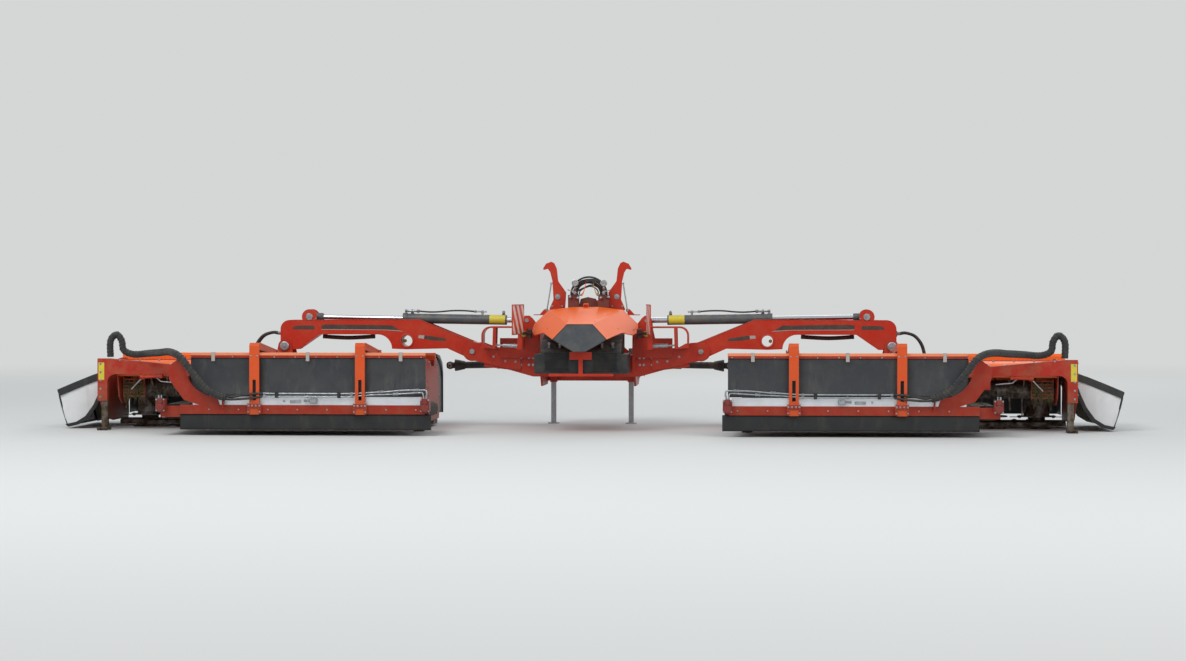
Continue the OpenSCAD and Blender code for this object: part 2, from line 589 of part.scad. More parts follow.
// Transverse frame, hitch tower, fold clevises, cylinder ears and lamp cages
module headstock_frame() color(red) placed() difference() {
    union() {
        for (s = [-1, 1]) mirror([s < 0 ? 1 : 0, 0, 0]) {
            plate_yz(side_x - 20, side_x) difference() {
                cheek_outline();
                translate([shaft_y, shaft_z0 + 30]) circle(r = 115);
            }
            for (y = [arm_y0 - 25, arm_y1 + 5]) plate_xz(y, y + 20) clevis_outline();
            for (y = [arm_y - 50, arm_y + 34]) plate_xz(y, y + 16) polygon([[side_x - 20, 700], [side_x - 20, 960],
                [anchor_x - 50, anchor_z + 20], [anchor_x - 20, anchor_z + 46], [anchor_x + 20, anchor_z + 46],
                [anchor_x + 50, anchor_z + 10], [anchor_x + 60, 960], [700, 715], [700, 700]]);
            plate_yz(hitch_in - hitch_plate, hitch_in) polygon([[640, 420], [640, 640],
                [700, 640], [hitch_y + 40, hitch_z + 50], [hitch_y + 52, hitch_z], [hitch_y + 30, hitch_z - 50],
                [700, 420]]);
            bar_x(hitch_y, hitch_z, hitch_r + 16, hitch_in - hitch_plate - 14, hitch_in + 10);
            for (y = cage_ys) plate_xz(y, y + cage_t) lamp_cage();
            plate_xz(cage_ys[0], cage_ys[1] + cage_t) cage_rim();
            block([side_x - 5, -445, 690], [840, arm_y0 - 20, 880]);
            difference() {
                block([stand_x - 36, stand_y - 36, 420], [stand_x + 36, stand_y + 36, 700]);
                block([stand_x - 25 - fit, stand_y - 25 - fit, 419], [stand_x + 25 + fit, stand_y + 25 + fit, 701]);
            }
            block([stand_x + 30, stand_y - 25, 460], [side_x - 10, stand_y + 25, 660]);
        }
        plate_xz(arm_y0 - 6, arm_y1 + 6) polygon(concat([[-1000, 600]], [[-1000, 715], [1000, 715], [1000, 600],
            [760, 572], [520, 505], [-520, 505], [-760, 572]]));
        plate_xz(640, 690) difference() {
            polygon([[-side_x, 430], [-side_x, 640], [-260, 820], [-110, hitch_z + mast_h + 60],
                [110, hitch_z + mast_h + 60], [260, 820], [side_x, 640], [side_x, 430]]);
            translate([0, stub_z]) circle(r = 130);
        }
        block([-300, -1262, 535], [300, arm_y0, 560]);
        block([-105, -1262, 692], [105, -1230, 765]);
        block([-20, -1262, 556], [20, -1230, 700]);
        block([-280, -400, 1130], [280, -285, 1150]);
        block([-280, -446, 1110], [280, -395, 1145.9]);
        for (x = [-60, 40]) plate_yz(x, x + 20) polygon([[640, 1000], [640, hitch_z + mast_h + 60],
            [hitch_y - 20, hitch_z + mast_h + 45], [hitch_y + 25, hitch_z + mast_h + 25],
            [hitch_y + 30, hitch_z + mast_h - 25], [700, 1000]]);
        for (x = [-280, 260]) plate_yz(x, x + 20) polygon([[-200, 560], [-200, 700], [-380, 1100], [-300, 1150],
            [-120, 1150], [640, 980], [640, 900], [100, 760]]);
    }
    for (s = [-1, 1]) {
        bar_y(s * fold_x, fold_z, fold_r, arm_y0 - 60, arm_y1 + 60);
        bar_y(s * anchor_x, anchor_z, 20, arm_y - 60, arm_y + 60);
        bar_x(hitch_y, hitch_z, hitch_r - 1 + fit, s * hitch_in - 80, s * hitch_in + 80);
    }
    bar_x(hitch_y - 10, hitch_z + mast_h, top_r, -90, 90);
}

// Plate of the fold clevis, seen from behind
module clevis_outline() {
    polygon([[640, 570], [640, 745], [900, 790], [1010, 830], [fold_x, fold_z + 88], [fold_x, fold_z - 88],
        [1000, 640], [800, 590]]);
    translate([fold_x, fold_z]) circle(r = 88);
}

// Rim of the cage round the fold hinge's lock: a flat bar bent over the clevis
module cage_rim() polygon(concat([[600, cage_top]], arc([915, cage_top - cage_r], cage_r, 90, 0, 6),
    [[915 + cage_r, 800], [915 + cage_r - cage_bar, 800]],
    arc([915, cage_top - cage_r], cage_r - cage_bar, 0, 90, 6), [[600, cage_top - cage_bar]]));

// One side of the cage: the rim with two upright ribs under it
module lamp_cage() {
    cage_rim();
    polygon([[860, cage_top - 3], [890, cage_top - 3], [896, 780], [866, 780]]);
    polygon([[604, cage_top - 3], [640, cage_top - 3], [660, 775], [604, 770]]);
    polygon([[915 + cage_r - 34, 830], [915 + cage_r, 830], [915 + cage_r, 790], [880, 780]]);
}

// Free lower hitch pins, fold pins and cylinder pins
module frame_pins() color(steel) placed() {
    for (s = [-1, 1]) {
        mirror([s < 0 ? 1 : 0, 0, 0]) {
            bar_x(hitch_y, hitch_z, hitch_r - 1, hitch_in - hitch_plate - 24, hitch_in + 20);
            bar_x(hitch_y, hitch_z, hitch_r, hitch_in + 10 + fit, hitch_in + 10 + fit + hitch_grip);
        }
        bar_y(s * fold_x, fold_z, fold_r - fit, arm_y0 - 40, arm_y1 + 40);
        bar_y(s * anchor_x, anchor_z, 20 - fit, arm_y - 62, arm_y + 62);
    }
}

// Central gearbox with its splined input stub and two outputs
module center_gearbox() color("#5d2a22") placed() {
    block([-170, arm_y1 + 6 + fit, 505], [170, 230, 790]);
    bar_y(0, stub_z, 90, 220, 420);
    bar_y(0, stub_z, 60, 400, 700);
    bar_y(0, stub_z, stub_r, 690, 780);
    bar_x(shaft_y, shaft_z0, 60, -shaft_x0 + 42, shaft_x0 - 42);
    for (s = [-1, 1]) mirror([s < 0 ? 1 : 0, 0, 0]) for (y = [shaft_y - 47, shaft_y + 39])
        plate_xz(y, y + 8) translate([shaft_x0, shaft_z0]) difference() {
            union() {
                circle(r = 24);
                translate([-60, -24]) square([60, 48]);
            }
            circle(r = 13 + fit);
        }
}

// A sheet made from points and faces, thick along the vector t
module sheet_body(points, faces, t) {
    n = len(points);
    edges = [for (f = faces) for (i = [0 : len(f) - 1]) [f[i], f[(i + 1) % len(f)]]];
    rim = [for (e = edges) if (len([for (g = edges) if (g[0] == e[1] && g[1] == e[0]) 1]) == 0) e];
    polyhedron(concat(points, [for (p = points) p + t]),
        concat(faces, [for (f = faces) [for (i = [len(f) - 1 : -1 : 0]) f[i] + n]],
            [for (e = rim) [e[1], e[0], e[0] + n, e[1] + n]]), convexity = 8);
}

// Faceted hood over the power pack
module center_hood() color(orange) placed() sheet_body(
    [[-360, -440, 1154], [360, -440, 1154], [120, -1380, 1030], [-120, -1380, 1030],
     [-512, -607, 946], [-470, -784, 920], [-372, -964, 946], [-253, -1410, 892],
     [512, -607, 946], [470, -784, 920], [372, -964, 946], [253, -1410, 892],
     [-500, -440, 1020], [500, -440, 1020], [-120, -440, 1184], [120, -440, 1184]],
    [[0, 14, 3], [14, 15, 2], [14, 2, 3], [15, 1, 2],
     [0, 3, 7], [0, 7, 6], [0, 6, 5], [0, 5, 4], [0, 4, 12],
     [1, 11, 2], [1, 10, 11], [1, 9, 10], [1, 8, 9], [1, 13, 8]],
    [0, 0, -7]);

// Dark plate that closes the tail of the hood
module hood_skirt() color(dark) placed() {
    sheet_body([[-120, -1382, 1022], [120, -1382, 1022], [253, -1412, 884], [55, -1440, 770], [-55, -1440, 770],
        [-253, -1412, 884]], [[0, 1, 2], [0, 2, 3], [0, 3, 4], [0, 4, 5]], [0, 10, 0]);
}

// Oil tank with its pump, under the hood
module power_pack() color("#2a2b2d") placed() {
    plate_yz(-380, 380) polygon([[-1228, 560 + fit], [-1228, 770], [-1070, 870], [-540, 960],
        [-540, 640], [-600, 560 + fit]]);
    block([-tank_x, -1228, 560 + fit], [tank_x, -640, 740]);
    for (x = [-300, 300]) plate_yz(x - 40, x + 40) polygon([[-560, 900], [-560, 960], [-500, 960], [-500, 900]]);
}

// One transport hook, seen from behind
module hook_outline() difference() {
    polygon([[219, 1150 + fit], [207, 1324], [286, 1436], [300, 1560], [325, 1612], [354, 1626], [405, 1606],
        [432, 1562], [430, 1545], [385, 1555], [362, 1520], [342, 1436], [331, 1256], [370, 1166], [370, 1150 + fit]]);
    translate([290, 1283]) circle(r = 12);
}

// Two hooks that hold the folded mowers
module transport_hooks() color(red) placed()
    for (s = [-1, 1]) mirror([s < 0 ? 1 : 0, 0, 0]) plate_xz(-265, -235) hook_outline();

// Valve block with two gauges
module hydraulic_controls() color("silver") placed() {
    block([-180, -395, 1150 + fit], [220, -290, 1190]);
    for (x = [-180, 115]) block([x, -395, 1180], [x + 105, -290, 1300]);
    plate_xz(-322, -314) polygon([[-80, 1185], [-60, 1262], [10, 1280], [90, 1262], [120, 1185]]);
    for (x = [-110, 170]) {
        bar_y(x, 1416, 32, -410, -380);
        block([x - 10, -400, 1295], [x + 10, -385, 1390]);
    }
}

// Hose loops between the hooks
module headstock_hoses() color("#1c1d1f") placed()
    for (k = [[150, -330], [120, -350], [175, -310]])
        translate([20, k[1], 1300 + fit]) rotate([90, 0, 0]) rotate_extrude(angle = 180)
            translate([k[0], 0]) circle(r = 9);

// Striped boards beside the hood, bolted flat to the cages and bent out to the rear
module warning_boards() color("white") placed()
    for (s = [-1, 1]) mirror([s < 0 ? 1 : 0, 0, 0]) translate([0, 0, board_z])
        linear_extrude(board_h) polygon([[600 - fit, -600], [600 - fit, -645], [600 + board_out, board_y],
            [600 + board_out - 6, board_y], [594 - fit, -645], [594 - fit, -600]]);

// Telescopic parking stand
module parking_stand() color(steel) {
    block([stand_x - 25, stand_y - 25, 10], [stand_x + 25, stand_y + 25, 760]);
    block([stand_x - 55, stand_y - 50, 0], [stand_x + 55, stand_y + 50, 12]);
}

headstock_frame();
frame_pins();
center_gearbox();
center_hood();
hood_skirt();
power_pack();
transport_hooks();
hydraulic_controls();
headstock_hoses();
warning_boards();
placed(-1) parking_stand();  // left_parking_stand
placed(-1) arm();  // left_arm
placed(-1) lift_cylinder();  // left_lift_cylinder
placed(-1) lift_rod();  // left_lift_rod
placed(-1) arm_hoses();  // left_arm_hoses
placed(-1) drive_shaft();  // left_drive_shaft
placed(-1) mower_frame();  // left_mower_frame
placed(-1) mower_hood();  // left_mower_hood
placed(-1) cutterbar();  // left_cutterbar
placed(-1) conditioner_rotor();  // left_conditioner_rotor
placed(-1) front_guard();  // left_front_guard
placed(-1) side_guard();  // left_side_guard
placed(-1) carrying_arms();  // left_carrying_arms
placed(-1) belt_frame();  // left_belt_frame
placed(-1) belt_loop();  // left_belt_loop
placed(-1) belt_rail();  // left_belt_rail
placed(-1) belt_curtains();  // left_belt_curtains
placed(-1) belt_hoses();  // left_belt_hoses
placed(-1) disc(0);  // left_disc_1
placed(-1) disc(1);  // left_disc_2
placed(-1) disc(2);  // left_disc_3
placed(-1) disc(3);  // left_disc_4
placed(-1) disc(4);  // left_disc_5
placed(-1) disc(5);  // left_disc_6
placed(-1) disc(6);  // left_disc_7
placed(1) parking_stand();  // right_parking_stand
placed(1) arm();  // right_arm
placed(1) lift_cylinder();  // right_lift_cylinder
placed(1) lift_rod();  // right_lift_rod
placed(1) arm_hoses();  // right_arm_hoses
placed(1) drive_shaft();  // right_drive_shaft
placed(1) mower_frame();  // right_mower_frame
placed(1) mower_hood();  // right_mower_hood
placed(1) cutterbar();  // right_cutterbar
placed(1) conditioner_rotor();  // right_conditioner_rotor
placed(1) front_guard();  // right_front_guard
placed(1) side_guard();  // right_side_guard
placed(1) carrying_arms();  // right_carrying_arms
placed(1) belt_frame();  // right_belt_frame
placed(1) belt_loop();  // right_belt_loop
placed(1) belt_rail();  // right_belt_rail
placed(1) belt_curtains();  // right_belt_curtains
placed(1) belt_hoses();  // right_belt_hoses
placed(1) disc(0);  // right_disc_1
placed(1) disc(1);  // right_disc_2
placed(1) disc(2);  // right_disc_3
placed(1) disc(3);  // right_disc_4
placed(1) disc(4);  // right_disc_5
placed(1) disc(5);  // right_disc_6
placed(1) disc(6);  // right_disc_7
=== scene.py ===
import bpy
import bmesh
import math
import random
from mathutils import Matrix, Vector


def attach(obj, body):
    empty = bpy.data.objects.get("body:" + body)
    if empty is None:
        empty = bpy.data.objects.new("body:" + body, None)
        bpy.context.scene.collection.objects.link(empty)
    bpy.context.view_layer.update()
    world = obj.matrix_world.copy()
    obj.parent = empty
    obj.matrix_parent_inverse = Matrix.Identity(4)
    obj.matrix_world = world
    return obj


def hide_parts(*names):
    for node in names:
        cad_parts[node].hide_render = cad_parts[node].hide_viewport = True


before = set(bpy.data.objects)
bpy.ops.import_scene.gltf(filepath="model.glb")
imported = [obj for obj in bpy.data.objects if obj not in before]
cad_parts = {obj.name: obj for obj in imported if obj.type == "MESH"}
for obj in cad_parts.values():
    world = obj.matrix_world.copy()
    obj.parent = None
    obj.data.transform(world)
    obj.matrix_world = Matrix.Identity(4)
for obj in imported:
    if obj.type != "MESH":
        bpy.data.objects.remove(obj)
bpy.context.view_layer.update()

# Camera.
# A long lens stands about 24 m behind the machine and 1.35 m above the ground. It looks a
# little to the left and down, as the photograph does.
left_turn, down_tilt = math.radians(3.5), math.radians(0.875)
photo_lens = bpy.data.cameras.new("photo_lens")
photo_lens.lens = 80.4
photo_lens.sensor_width = 36.0
photo_lens.clip_end = 200.0
camera = bpy.data.objects.new("camera", photo_lens)
camera.location = (1.639, -25.56, 1.348)
look = Vector((-math.sin(left_turn), math.cos(left_turn), -math.tan(down_tilt)))
camera.rotation_euler = look.to_track_quat("-Z", "Y").to_euler()
bpy.context.scene.collection.objects.link(camera)
bpy.context.scene.camera = camera

# Hydraulic hoses.
# Two-braid rubber hoses. Eight loops rise from the valve blocks between the hooks, one bundle is
# clipped below each arm's arch, and three hoses bow over the arm's outer end to the mower.
SIDES = (("left", -1), ("right", 1))
disc_line = 0.576                       # metres from the origin ahead to the unit frame's Y = 0
arm_y = -300                            # the arm's middle plane in the unit frame
end_hose_ys = (arm_y - 34, arm_y, arm_y + 34)


def spot(s, x, y, z):
    """A point given in the unit frame's millimetres, on side s, in the machine's metres."""
    return Vector((s * x / 1000, y / 1000 + disc_line, z / 1000))


def linear(code):
    """An sRGB hex colour as Blender's linear values."""
    parts = [int(code[i:i + 2], 16) / 255 for i in (1, 3, 5)]
    return tuple(c / 12.92 if c <= 0.04045 else ((c + 0.055) / 1.055) ** 2.4 for c in parts) + (1.0,)


def fill(tree, made, links):
    """Sets or links a node's inputs. A node given as the source stands for its first output in use."""
    for socket, source in links.items():
        if isinstance(source, bpy.types.Node):
            source = next(output for output in source.outputs if output.enabled)
        if isinstance(source, bpy.types.NodeSocket):
            tree.links.new(source, made.inputs[socket])
        else:
            made.inputs[socket].default_value = source


def node(tree, kind, links=None, **settings):
    """Adds one shader node with its settings and links."""
    made = tree.nodes.new("ShaderNode" + kind)
    for key, value in settings.items():
        setattr(made, key, value)
    fill(tree, made, links or {})
    return made


def new_finish(name, roughness, metallic=0.0, ior=1.5, coat=0.0):
    """A plain material: itself, its tree, its shader and the object's own coordinates."""
    made = bpy.data.materials.new(name)
    made.use_nodes = True
    tree = made.node_tree
    shader = tree.nodes["Principled BSDF"]
    fill(tree, shader, {"Roughness": roughness, "Metallic": metallic, "Coat Weight": coat})
    if not metallic:
        fill(tree, shader, {"IOR": ior})
    return made, tree, shader, node(tree, "TexCoord").outputs["Object"]


def dusty(tree, at, clean, dust, share, patch=0.12):
    """Colour with dust on what faces up and in patches, the size of patch in metres."""
    facing = node(tree, "SeparateXYZ", {"Vector": node(tree, "TexCoord").outputs["Normal"]})
    upward = facing.outputs["Z"]
    lie = node(tree, "MapRange", {"Value": upward, "From Min": 0.1, "From Max": 0.95, "To Min": 0.35})
    cloud = node(tree, "TexNoise", {"Vector": at, "Scale": 1 / patch, "Detail": 7.0, "Roughness": 0.62})
    patchy = node(tree, "MapRange", {"Value": cloud, "From Min": 0.42, "From Max": 0.72, "To Max": share})
    cover = node(tree, "Math", {0: lie, 1: patchy}, operation="MULTIPLY")
    return node(tree, "MixRGB", {"Fac": cover, "Color1": clean, "Color2": linear(dust)}), cover


def dust_over(tree, shader, at, clean, dust, share, patch=0.12):
    """Gives the shader a clean colour with dust on it."""
    fill(tree, shader, {"Base Color": dusty(tree, at, clean, dust, share, patch)[0]})


def relief(tree, shader, height, distance, **more):
    """A bump of that height in metres, on the shader's normal."""
    fill(tree, shader, {"Normal": node(tree, "Bump", {"Height": height, "Distance": distance, **more})})


def hose_rubber():
    """Calendered nitrile rubber: dull black, with the faint wrap pattern of its cure tape."""
    made, tree, shader, at = new_finish("rubber_hose_wrapped", 0.55, ior=1.52)
    dust_over(tree, shader, at, linear("#1b1c1e"), "#7d735c", 0.35, patch=0.08)
    # the cure tape is 45 mm wide in life, drawn as it is
    tape = node(tree, "TexWave", {"Vector": at, "Scale": 1 / 0.045, "Distortion": 1.2},
                bands_direction="DIAGONAL")
    relief(tree, shader, tape.outputs["Fac"], 0.0012)
    return made


rubber = hose_rubber()


def smooth_line(points, steps):
    """Catmull-Rom points through the given ones, as part.scad sweeps them."""
    last = len(points) - 1
    line = []
    for i in range(last):
        a, b, c, d = points[max(i - 1, 0)], points[i], points[i + 1], points[min(i + 2, last)]
        for k in range(steps):
            t = k / steps
            line.append(0.5 * (2 * b + (c - a) * t + (2 * a - 5 * b + 4 * c - d) * t * t
                               + (3 * b - a - 3 * c + d) * t * t * t))
    return line + [points[last]]


def hose(name, body, line, radius, finish):
    """A round hose along the line, as a curve piece that rides on the body."""
    curve = bpy.data.curves.new(name, "CURVE")
    curve.dimensions = "3D"
    curve.bevel_depth = 1.0
    curve.bevel_resolution = 4
    curve.use_fill_caps = True
    path = curve.splines.new("POLY")
    path.points.add(len(line) - 1)
    for point, place in zip(path.points, line):
        point.co, point.radius = (*place, 1.0), radius
    path.use_smooth = True
    curve.materials.append(finish)
    made = bpy.data.objects.new(name, curve)
    bpy.context.scene.collection.objects.link(made)
    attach(made, body)
    return made


# each loop stands on the valve blocks: its reach to the side, its y, its radius and its sway,
# in millimetres
block_middle, block_top = 20, 1300.3
headstock_loops = ((150, -330, 9, 0), (120, -350, 9, 0), (175, -310, 9, 0), (164, -336, 7, 13),
                   (137, -362, 8, -9), (108, -318, 7, 16), (158, -372, 6, -16), (90, -340, 6, 8))
for number, (reach, y, r, sway) in enumerate(headstock_loops):
    loop = []
    for step in range(31):
        a = math.radians(6 * step)
        across = (reach + sway * math.sin(3 * a)) * math.cos(a)
        up = (reach - abs(sway) + sway * math.sin(2 * a)) * math.sin(a)
        loop.append(spot(1, block_middle + across, y + sway * math.sin(a), block_top + up))
    made = hose(f"headstock_hose_{number + 1}", "headstock", loop, r / 1000, rubber)
    if not sway:
        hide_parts("headstock_hoses")

arch_underside, arch_hose_r, end_hose_r = 914, 0.02, 0.015
clipped_hang = ((2085, 0), (2200, 8), (2350, 14), (2500, 8), (2600, 0))
end_bow = ((3005.8, 925), (3040, 925), (3095, 932), (3180, 905), (3240, 840), (3272, 760), (3288, 655))
for side, s in SIDES:
    body = f"{side}_arm"
    clip_z = arch_underside - 1000 * arch_hose_r - 0.3
    clipped = smooth_line([spot(s, x, arm_y, clip_z - drop) for x, drop in clipped_hang], 6)
    made = hose(f"{side}_arch_hose", body, clipped, arch_hose_r, rubber)
    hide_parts(f"{side}_arm_hoses")
    for number, y in enumerate(end_hose_ys):
        bow = smooth_line([spot(s, x, y, z) for x, z in end_bow], 8)
        made = hose(f"{side}_arm_end_hose_{number + 1}", body, bow, end_hose_r, rubber)
        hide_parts(f"{side}_arm_hoses")

# Belt motor hoses.
# The two hoses of the belt motors run in one woven sleeve, 64 mm across, up from the rail, along
# the portal's beam and over a loop at its outer end. A plastic spiral 8 mm thick guards it.
sleeve_r, guard_r, guard_pitch = 0.032, 0.004, 0.034


def sleeve_cloth():
    """Woven nylon sleeve: dull black with a 6 mm weave, and clippings caught on top."""
    made, tree, shader, at = new_finish("nylon_sleeve_woven", 0.75)
    dust_over(tree, shader, at, linear("#222326"), "#6f6a4a", 0.5, patch=0.06)
    fill(tree, shader, {"Sheen Weight": 0.2})
    relief(tree, shader, node(tree, "TexVoronoi", {"Vector": at, "Scale": 1 / 0.006}), 0.0015)
    return made


sleeve = sleeve_cloth()
sleeve_route = ((3238, -1968, 356), (3270, -1968, 363), (3340, -1968, 388), (3430, -1968, 448),
                (3550, -1968, 590), (3655, -1955, 725), (3790, -1800, 772), (3990, -1380, 756),
                (4160, -1085, 742), (4320, -1000, 731), (4420, -990, 770), (4440, -985, 860),
                (4490, -985, 920), (4550, -985, 860), (4550, -985, 704))


def spiral(line, radius, pitch):
    """Points wound round the line, ten to a turn."""
    coil, run, across = [], 0.0, Vector((0, 1, 0))
    for a, b in zip(line, line[1:]):
        length, along = (b - a).length, (b - a).normalized()
        across = (across - along * across.dot(along)).normalized()
        other = along.cross(across)
        parts = max(1, round(10 * length / pitch))
        for k in range(parts):
            turn = 2 * math.pi * (run + length * k / parts) / pitch
            out = math.cos(turn) * across + math.sin(turn) * other
            coil.append(a + (b - a) * (k / parts) + radius * out)
        run += length
    return coil


for side, s in SIDES:
    body = f"{side}_belt_unit"
    route = [spot(s, *p) for p in sleeve_route]
    line = smooth_line(route, 6)
    wrapped = hose(f"{side}_belt_hose_sleeve", body, line, sleeve_r, sleeve)
    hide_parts(f"{side}_belt_hoses")
    coil = spiral(smooth_line(route, 30), sleeve_r, guard_pitch)
    strip = hose(f"{side}_belt_hose_guard", body, coil, guard_r, rubber)
    strip.data.bevel_resolution = 1

# Floor and light.
# A plain pale studio floor with a soft light from above and behind the camera, and a paler
# world round it. They aren't part of the machine.
floor_mesh = bpy.data.meshes.new("floor")
floor_mesh.from_pydata([(-60, -60, 0), (60, -60, 0), (60, 90, 0), (-60, 90, 0)], [], [(0, 1, 2, 3)])
floor = bpy.data.objects.new("floor", floor_mesh)
bpy.context.scene.collection.objects.link(floor)
pale, tree, shader, at = new_finish("floor_paint_pale", 0.9)
fill(tree, shader, {"Base Color": linear("#d4d5d2"), "Specular IOR Level": 0.1})
floor_mesh.materials.append(pale)
# far from the machine the floor passes over into the world's own tone, so that no horizon shows
backdrop = {"Color": linear("#dfe1e0"), "Strength": 0.9}
far_off = node(tree, "VectorMath", {0: at}, operation="LENGTH")
fade = node(tree, "MapRange", {"Value": far_off, "From Min": 6.0, "From Max": 26.0},
            interpolation_type="SMOOTHSTEP")
seen = node(tree, "LightPath").outputs["Is Camera Ray"]
veil = node(tree, "Math", {0: fade, 1: seen}, operation="MULTIPLY")
laid = node(tree, "MixShader", {0: veil, 1: shader, 2: node(tree, "Emission", backdrop)})
fill(tree, tree.nodes["Material Output"], {"Surface": laid})

world = bpy.data.worlds.new("studio")
bpy.context.scene.world = world
world.use_nodes = True
sky = world.node_tree
ray = node(sky, "LightPath").outputs
shown = node(sky, "Math", {0: ray["Is Camera Ray"], 1: ray["Is Transmission Ray"]}, operation="MAXIMUM")
soft_sky = node(sky, "Background", {"Color": linear("#e6ebf2"), "Strength": 0.72})
both = node(sky, "MixShader", {0: shown, 1: soft_sky, 2: node(sky, "Background", backdrop)})
fill(sky, sky.nodes["World Output"], {"Surface": both})
for name, place, size, power in (("key_light", (-7, -12, 14), 9.0, 1500),
                                 ("fill_light", (10, -14, 9), 8.0, 700),
                                 ("front_light", (3, 16, 11), 9.0, 700)):
    lamp = bpy.data.lights.new(name, "AREA")
    lamp.size = size
    lamp.energy = power
    lit = bpy.data.objects.new(name, lamp)
    lit.location = place
    lit.rotation_euler = (Vector((0, 0, 0.5)) - Vector(place)).to_track_quat("-Z", "Y").to_euler()
    bpy.context.scene.collection.objects.link(lit)
bpy.context.scene.view_settings.view_transform = "Standard"

# Headstock frame.
# Welded plate and box section, blasted and powder coated red. It carries the hitch, the fold
# clevises and the cages beside the hood, and is held together with zinc-plated bolts.


def powder_coat(name, colour, gloss=0.38, share=0.3, grime=0.55):
    """Powder coat: a soft gloss with orange peel, chipped to grey steel along its edges, faded in
    patches, dusty on top and stained by grass juice near the ground."""
    made, tree, shader, at = new_finish(name, gloss, coat=0.06)
    fill(tree, shader, {"Coat Roughness": 0.25, "Specular IOR Level": 0.3})
    # sun has faded patches about 0.4 m across
    sun = node(tree, "TexNoise", {"Vector": at, "Scale": 1 / 0.4, "Detail": 3.0})
    patches = node(tree, "MapRange", {"Value": sun, "From Min": 0.4, "From Max": 0.7, "To Max": 0.3})
    paler = tuple(min(1.0, c * 1.25 + 0.006) for c in linear(colour)[:3]) + (1.0,)
    faded = node(tree, "MixRGB", {"Fac": patches, "Color1": linear(colour), "Color2": paler})
    # scratches are 1 mm wide in life and drawn 3 mm wide, so that they show
    drawn_out = node(tree, "Mapping", {"Vector": at, "Scale": (1.0, 1.0, 0.15)})
    scuffs = node(tree, "TexNoise", {"Vector": drawn_out, "Scale": 1 / 0.02, "Detail": 6.0, "Roughness": 0.7})
    chips = node(tree, "MapRange", {"Value": scuffs, "From Min": 0.66, "From Max": 0.72, "To Max": 0.55})
    scuffed = node(tree, "MixRGB", {"Fac": chips, "Color1": faded, "Color2": linear("#8d5b4c")})
    # edges wear through over 4 mm
    rounded = node(tree, "Bevel", {"Radius": 0.004}, samples=4)
    true = node(tree, "NewGeometry").outputs["Normal"]
    apart = node(tree, "VectorMath", {0: rounded, 1: true}, operation="DOT_PRODUCT")
    edge = node(tree, "MapRange", {"Value": apart, "From Min": 0.985, "From Max": 0.9, "To Max": 0.8})
    rubbed = node(tree, "Math", {0: edge, 1: scuffs}, operation="MULTIPLY")
    worn = node(tree, "MixRGB", {"Fac": rubbed, "Color1": scuffed, "Color2": linear("#8b8078")})
    tint, cover = dusty(tree, at, worn, "#a08a63", share)
    # grass juice and soil, from the ground to knee height
    height = node(tree, "SeparateXYZ", {"Vector": at}).outputs["Z"]
    low = node(tree, "MapRange", {"Value": height, "From Min": 0.55, "From Max": 0.08, "To Max": grime})
    splash = node(tree, "TexNoise", {"Vector": at, "Scale": 1 / 0.09, "Detail": 8.0})
    soil = node(tree, "Math", {0: low, 1: splash}, operation="MULTIPLY")
    dirty = node(tree, "MixRGB", {"Fac": soil, "Color1": tint, "Color2": linear("#4d4a30")})
    dull = node(tree, "MapRange", {"Value": cover, "To Min": gloss, "To Max": 0.85})
    fill(tree, shader, {"Base Color": dirty, "Roughness": dull})
    # orange peel is 2 mm across in life, drawn at 6 mm
    peel = node(tree, "TexNoise", {"Vector": at, "Scale": 1 / 0.006, "Detail": 2.0})
    relief(tree, shader, peel, 0.0004, Normal=rounded)
    return made


def coat(finish, *nodes):
    """Gives CAD nodes a finish."""
    for name in nodes:
        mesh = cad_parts[name].data
        if mesh.materials:
            for slot in range(len(mesh.materials)):
                mesh.materials[slot] = finish
        else:
            mesh.materials.append(finish)


red_coat = powder_coat("powder_coat_red_on_steel", "#b4270c")
orange_coat = powder_coat("powder_coat_orange_on_steel", "#ee6415", gloss=0.46, share=0.1)
coat(red_coat, "headstock_frame")


def plated(name, colour, roughness):
    """Zinc plate: a fine bluish or yellow metal with a cloudy passivation, dulled by weather."""
    made, tree, shader, at = new_finish(name, roughness, metallic=1.0)
    cloud = node(tree, "TexNoise", {"Vector": at, "Scale": 1 / 0.03, "Detail": 5.0})
    spread = node(tree, "MapRange", {"Value": cloud, "From Min": 0.3, "From Max": 0.7})
    darker = tuple(c * 0.6 for c in linear(colour)[:3]) + (1.0,)
    dull = node(tree, "MixRGB", {"Fac": spread, "Color1": linear(colour), "Color2": darker})
    dust_over(tree, shader, at, dull, "#857a63", 0.35, patch=0.05)
    rough = node(tree, "MapRange", {"Value": spread, "To Min": roughness, "To Max": roughness + 0.18})
    fill(tree, shader, {"Roughness": rough})
    return made


zinc = plated("zinc_plate_blue", "#b9bdc0", 0.34)
yellow_zinc = plated("zinc_plate_yellow", "#c9a640", 0.38)


def around(turn, r=1.0):
    """The two legs of a radius r, at a share of a full turn."""
    return r * math.cos(2 * math.pi * turn), r * math.sin(2 * math.pi * turn)


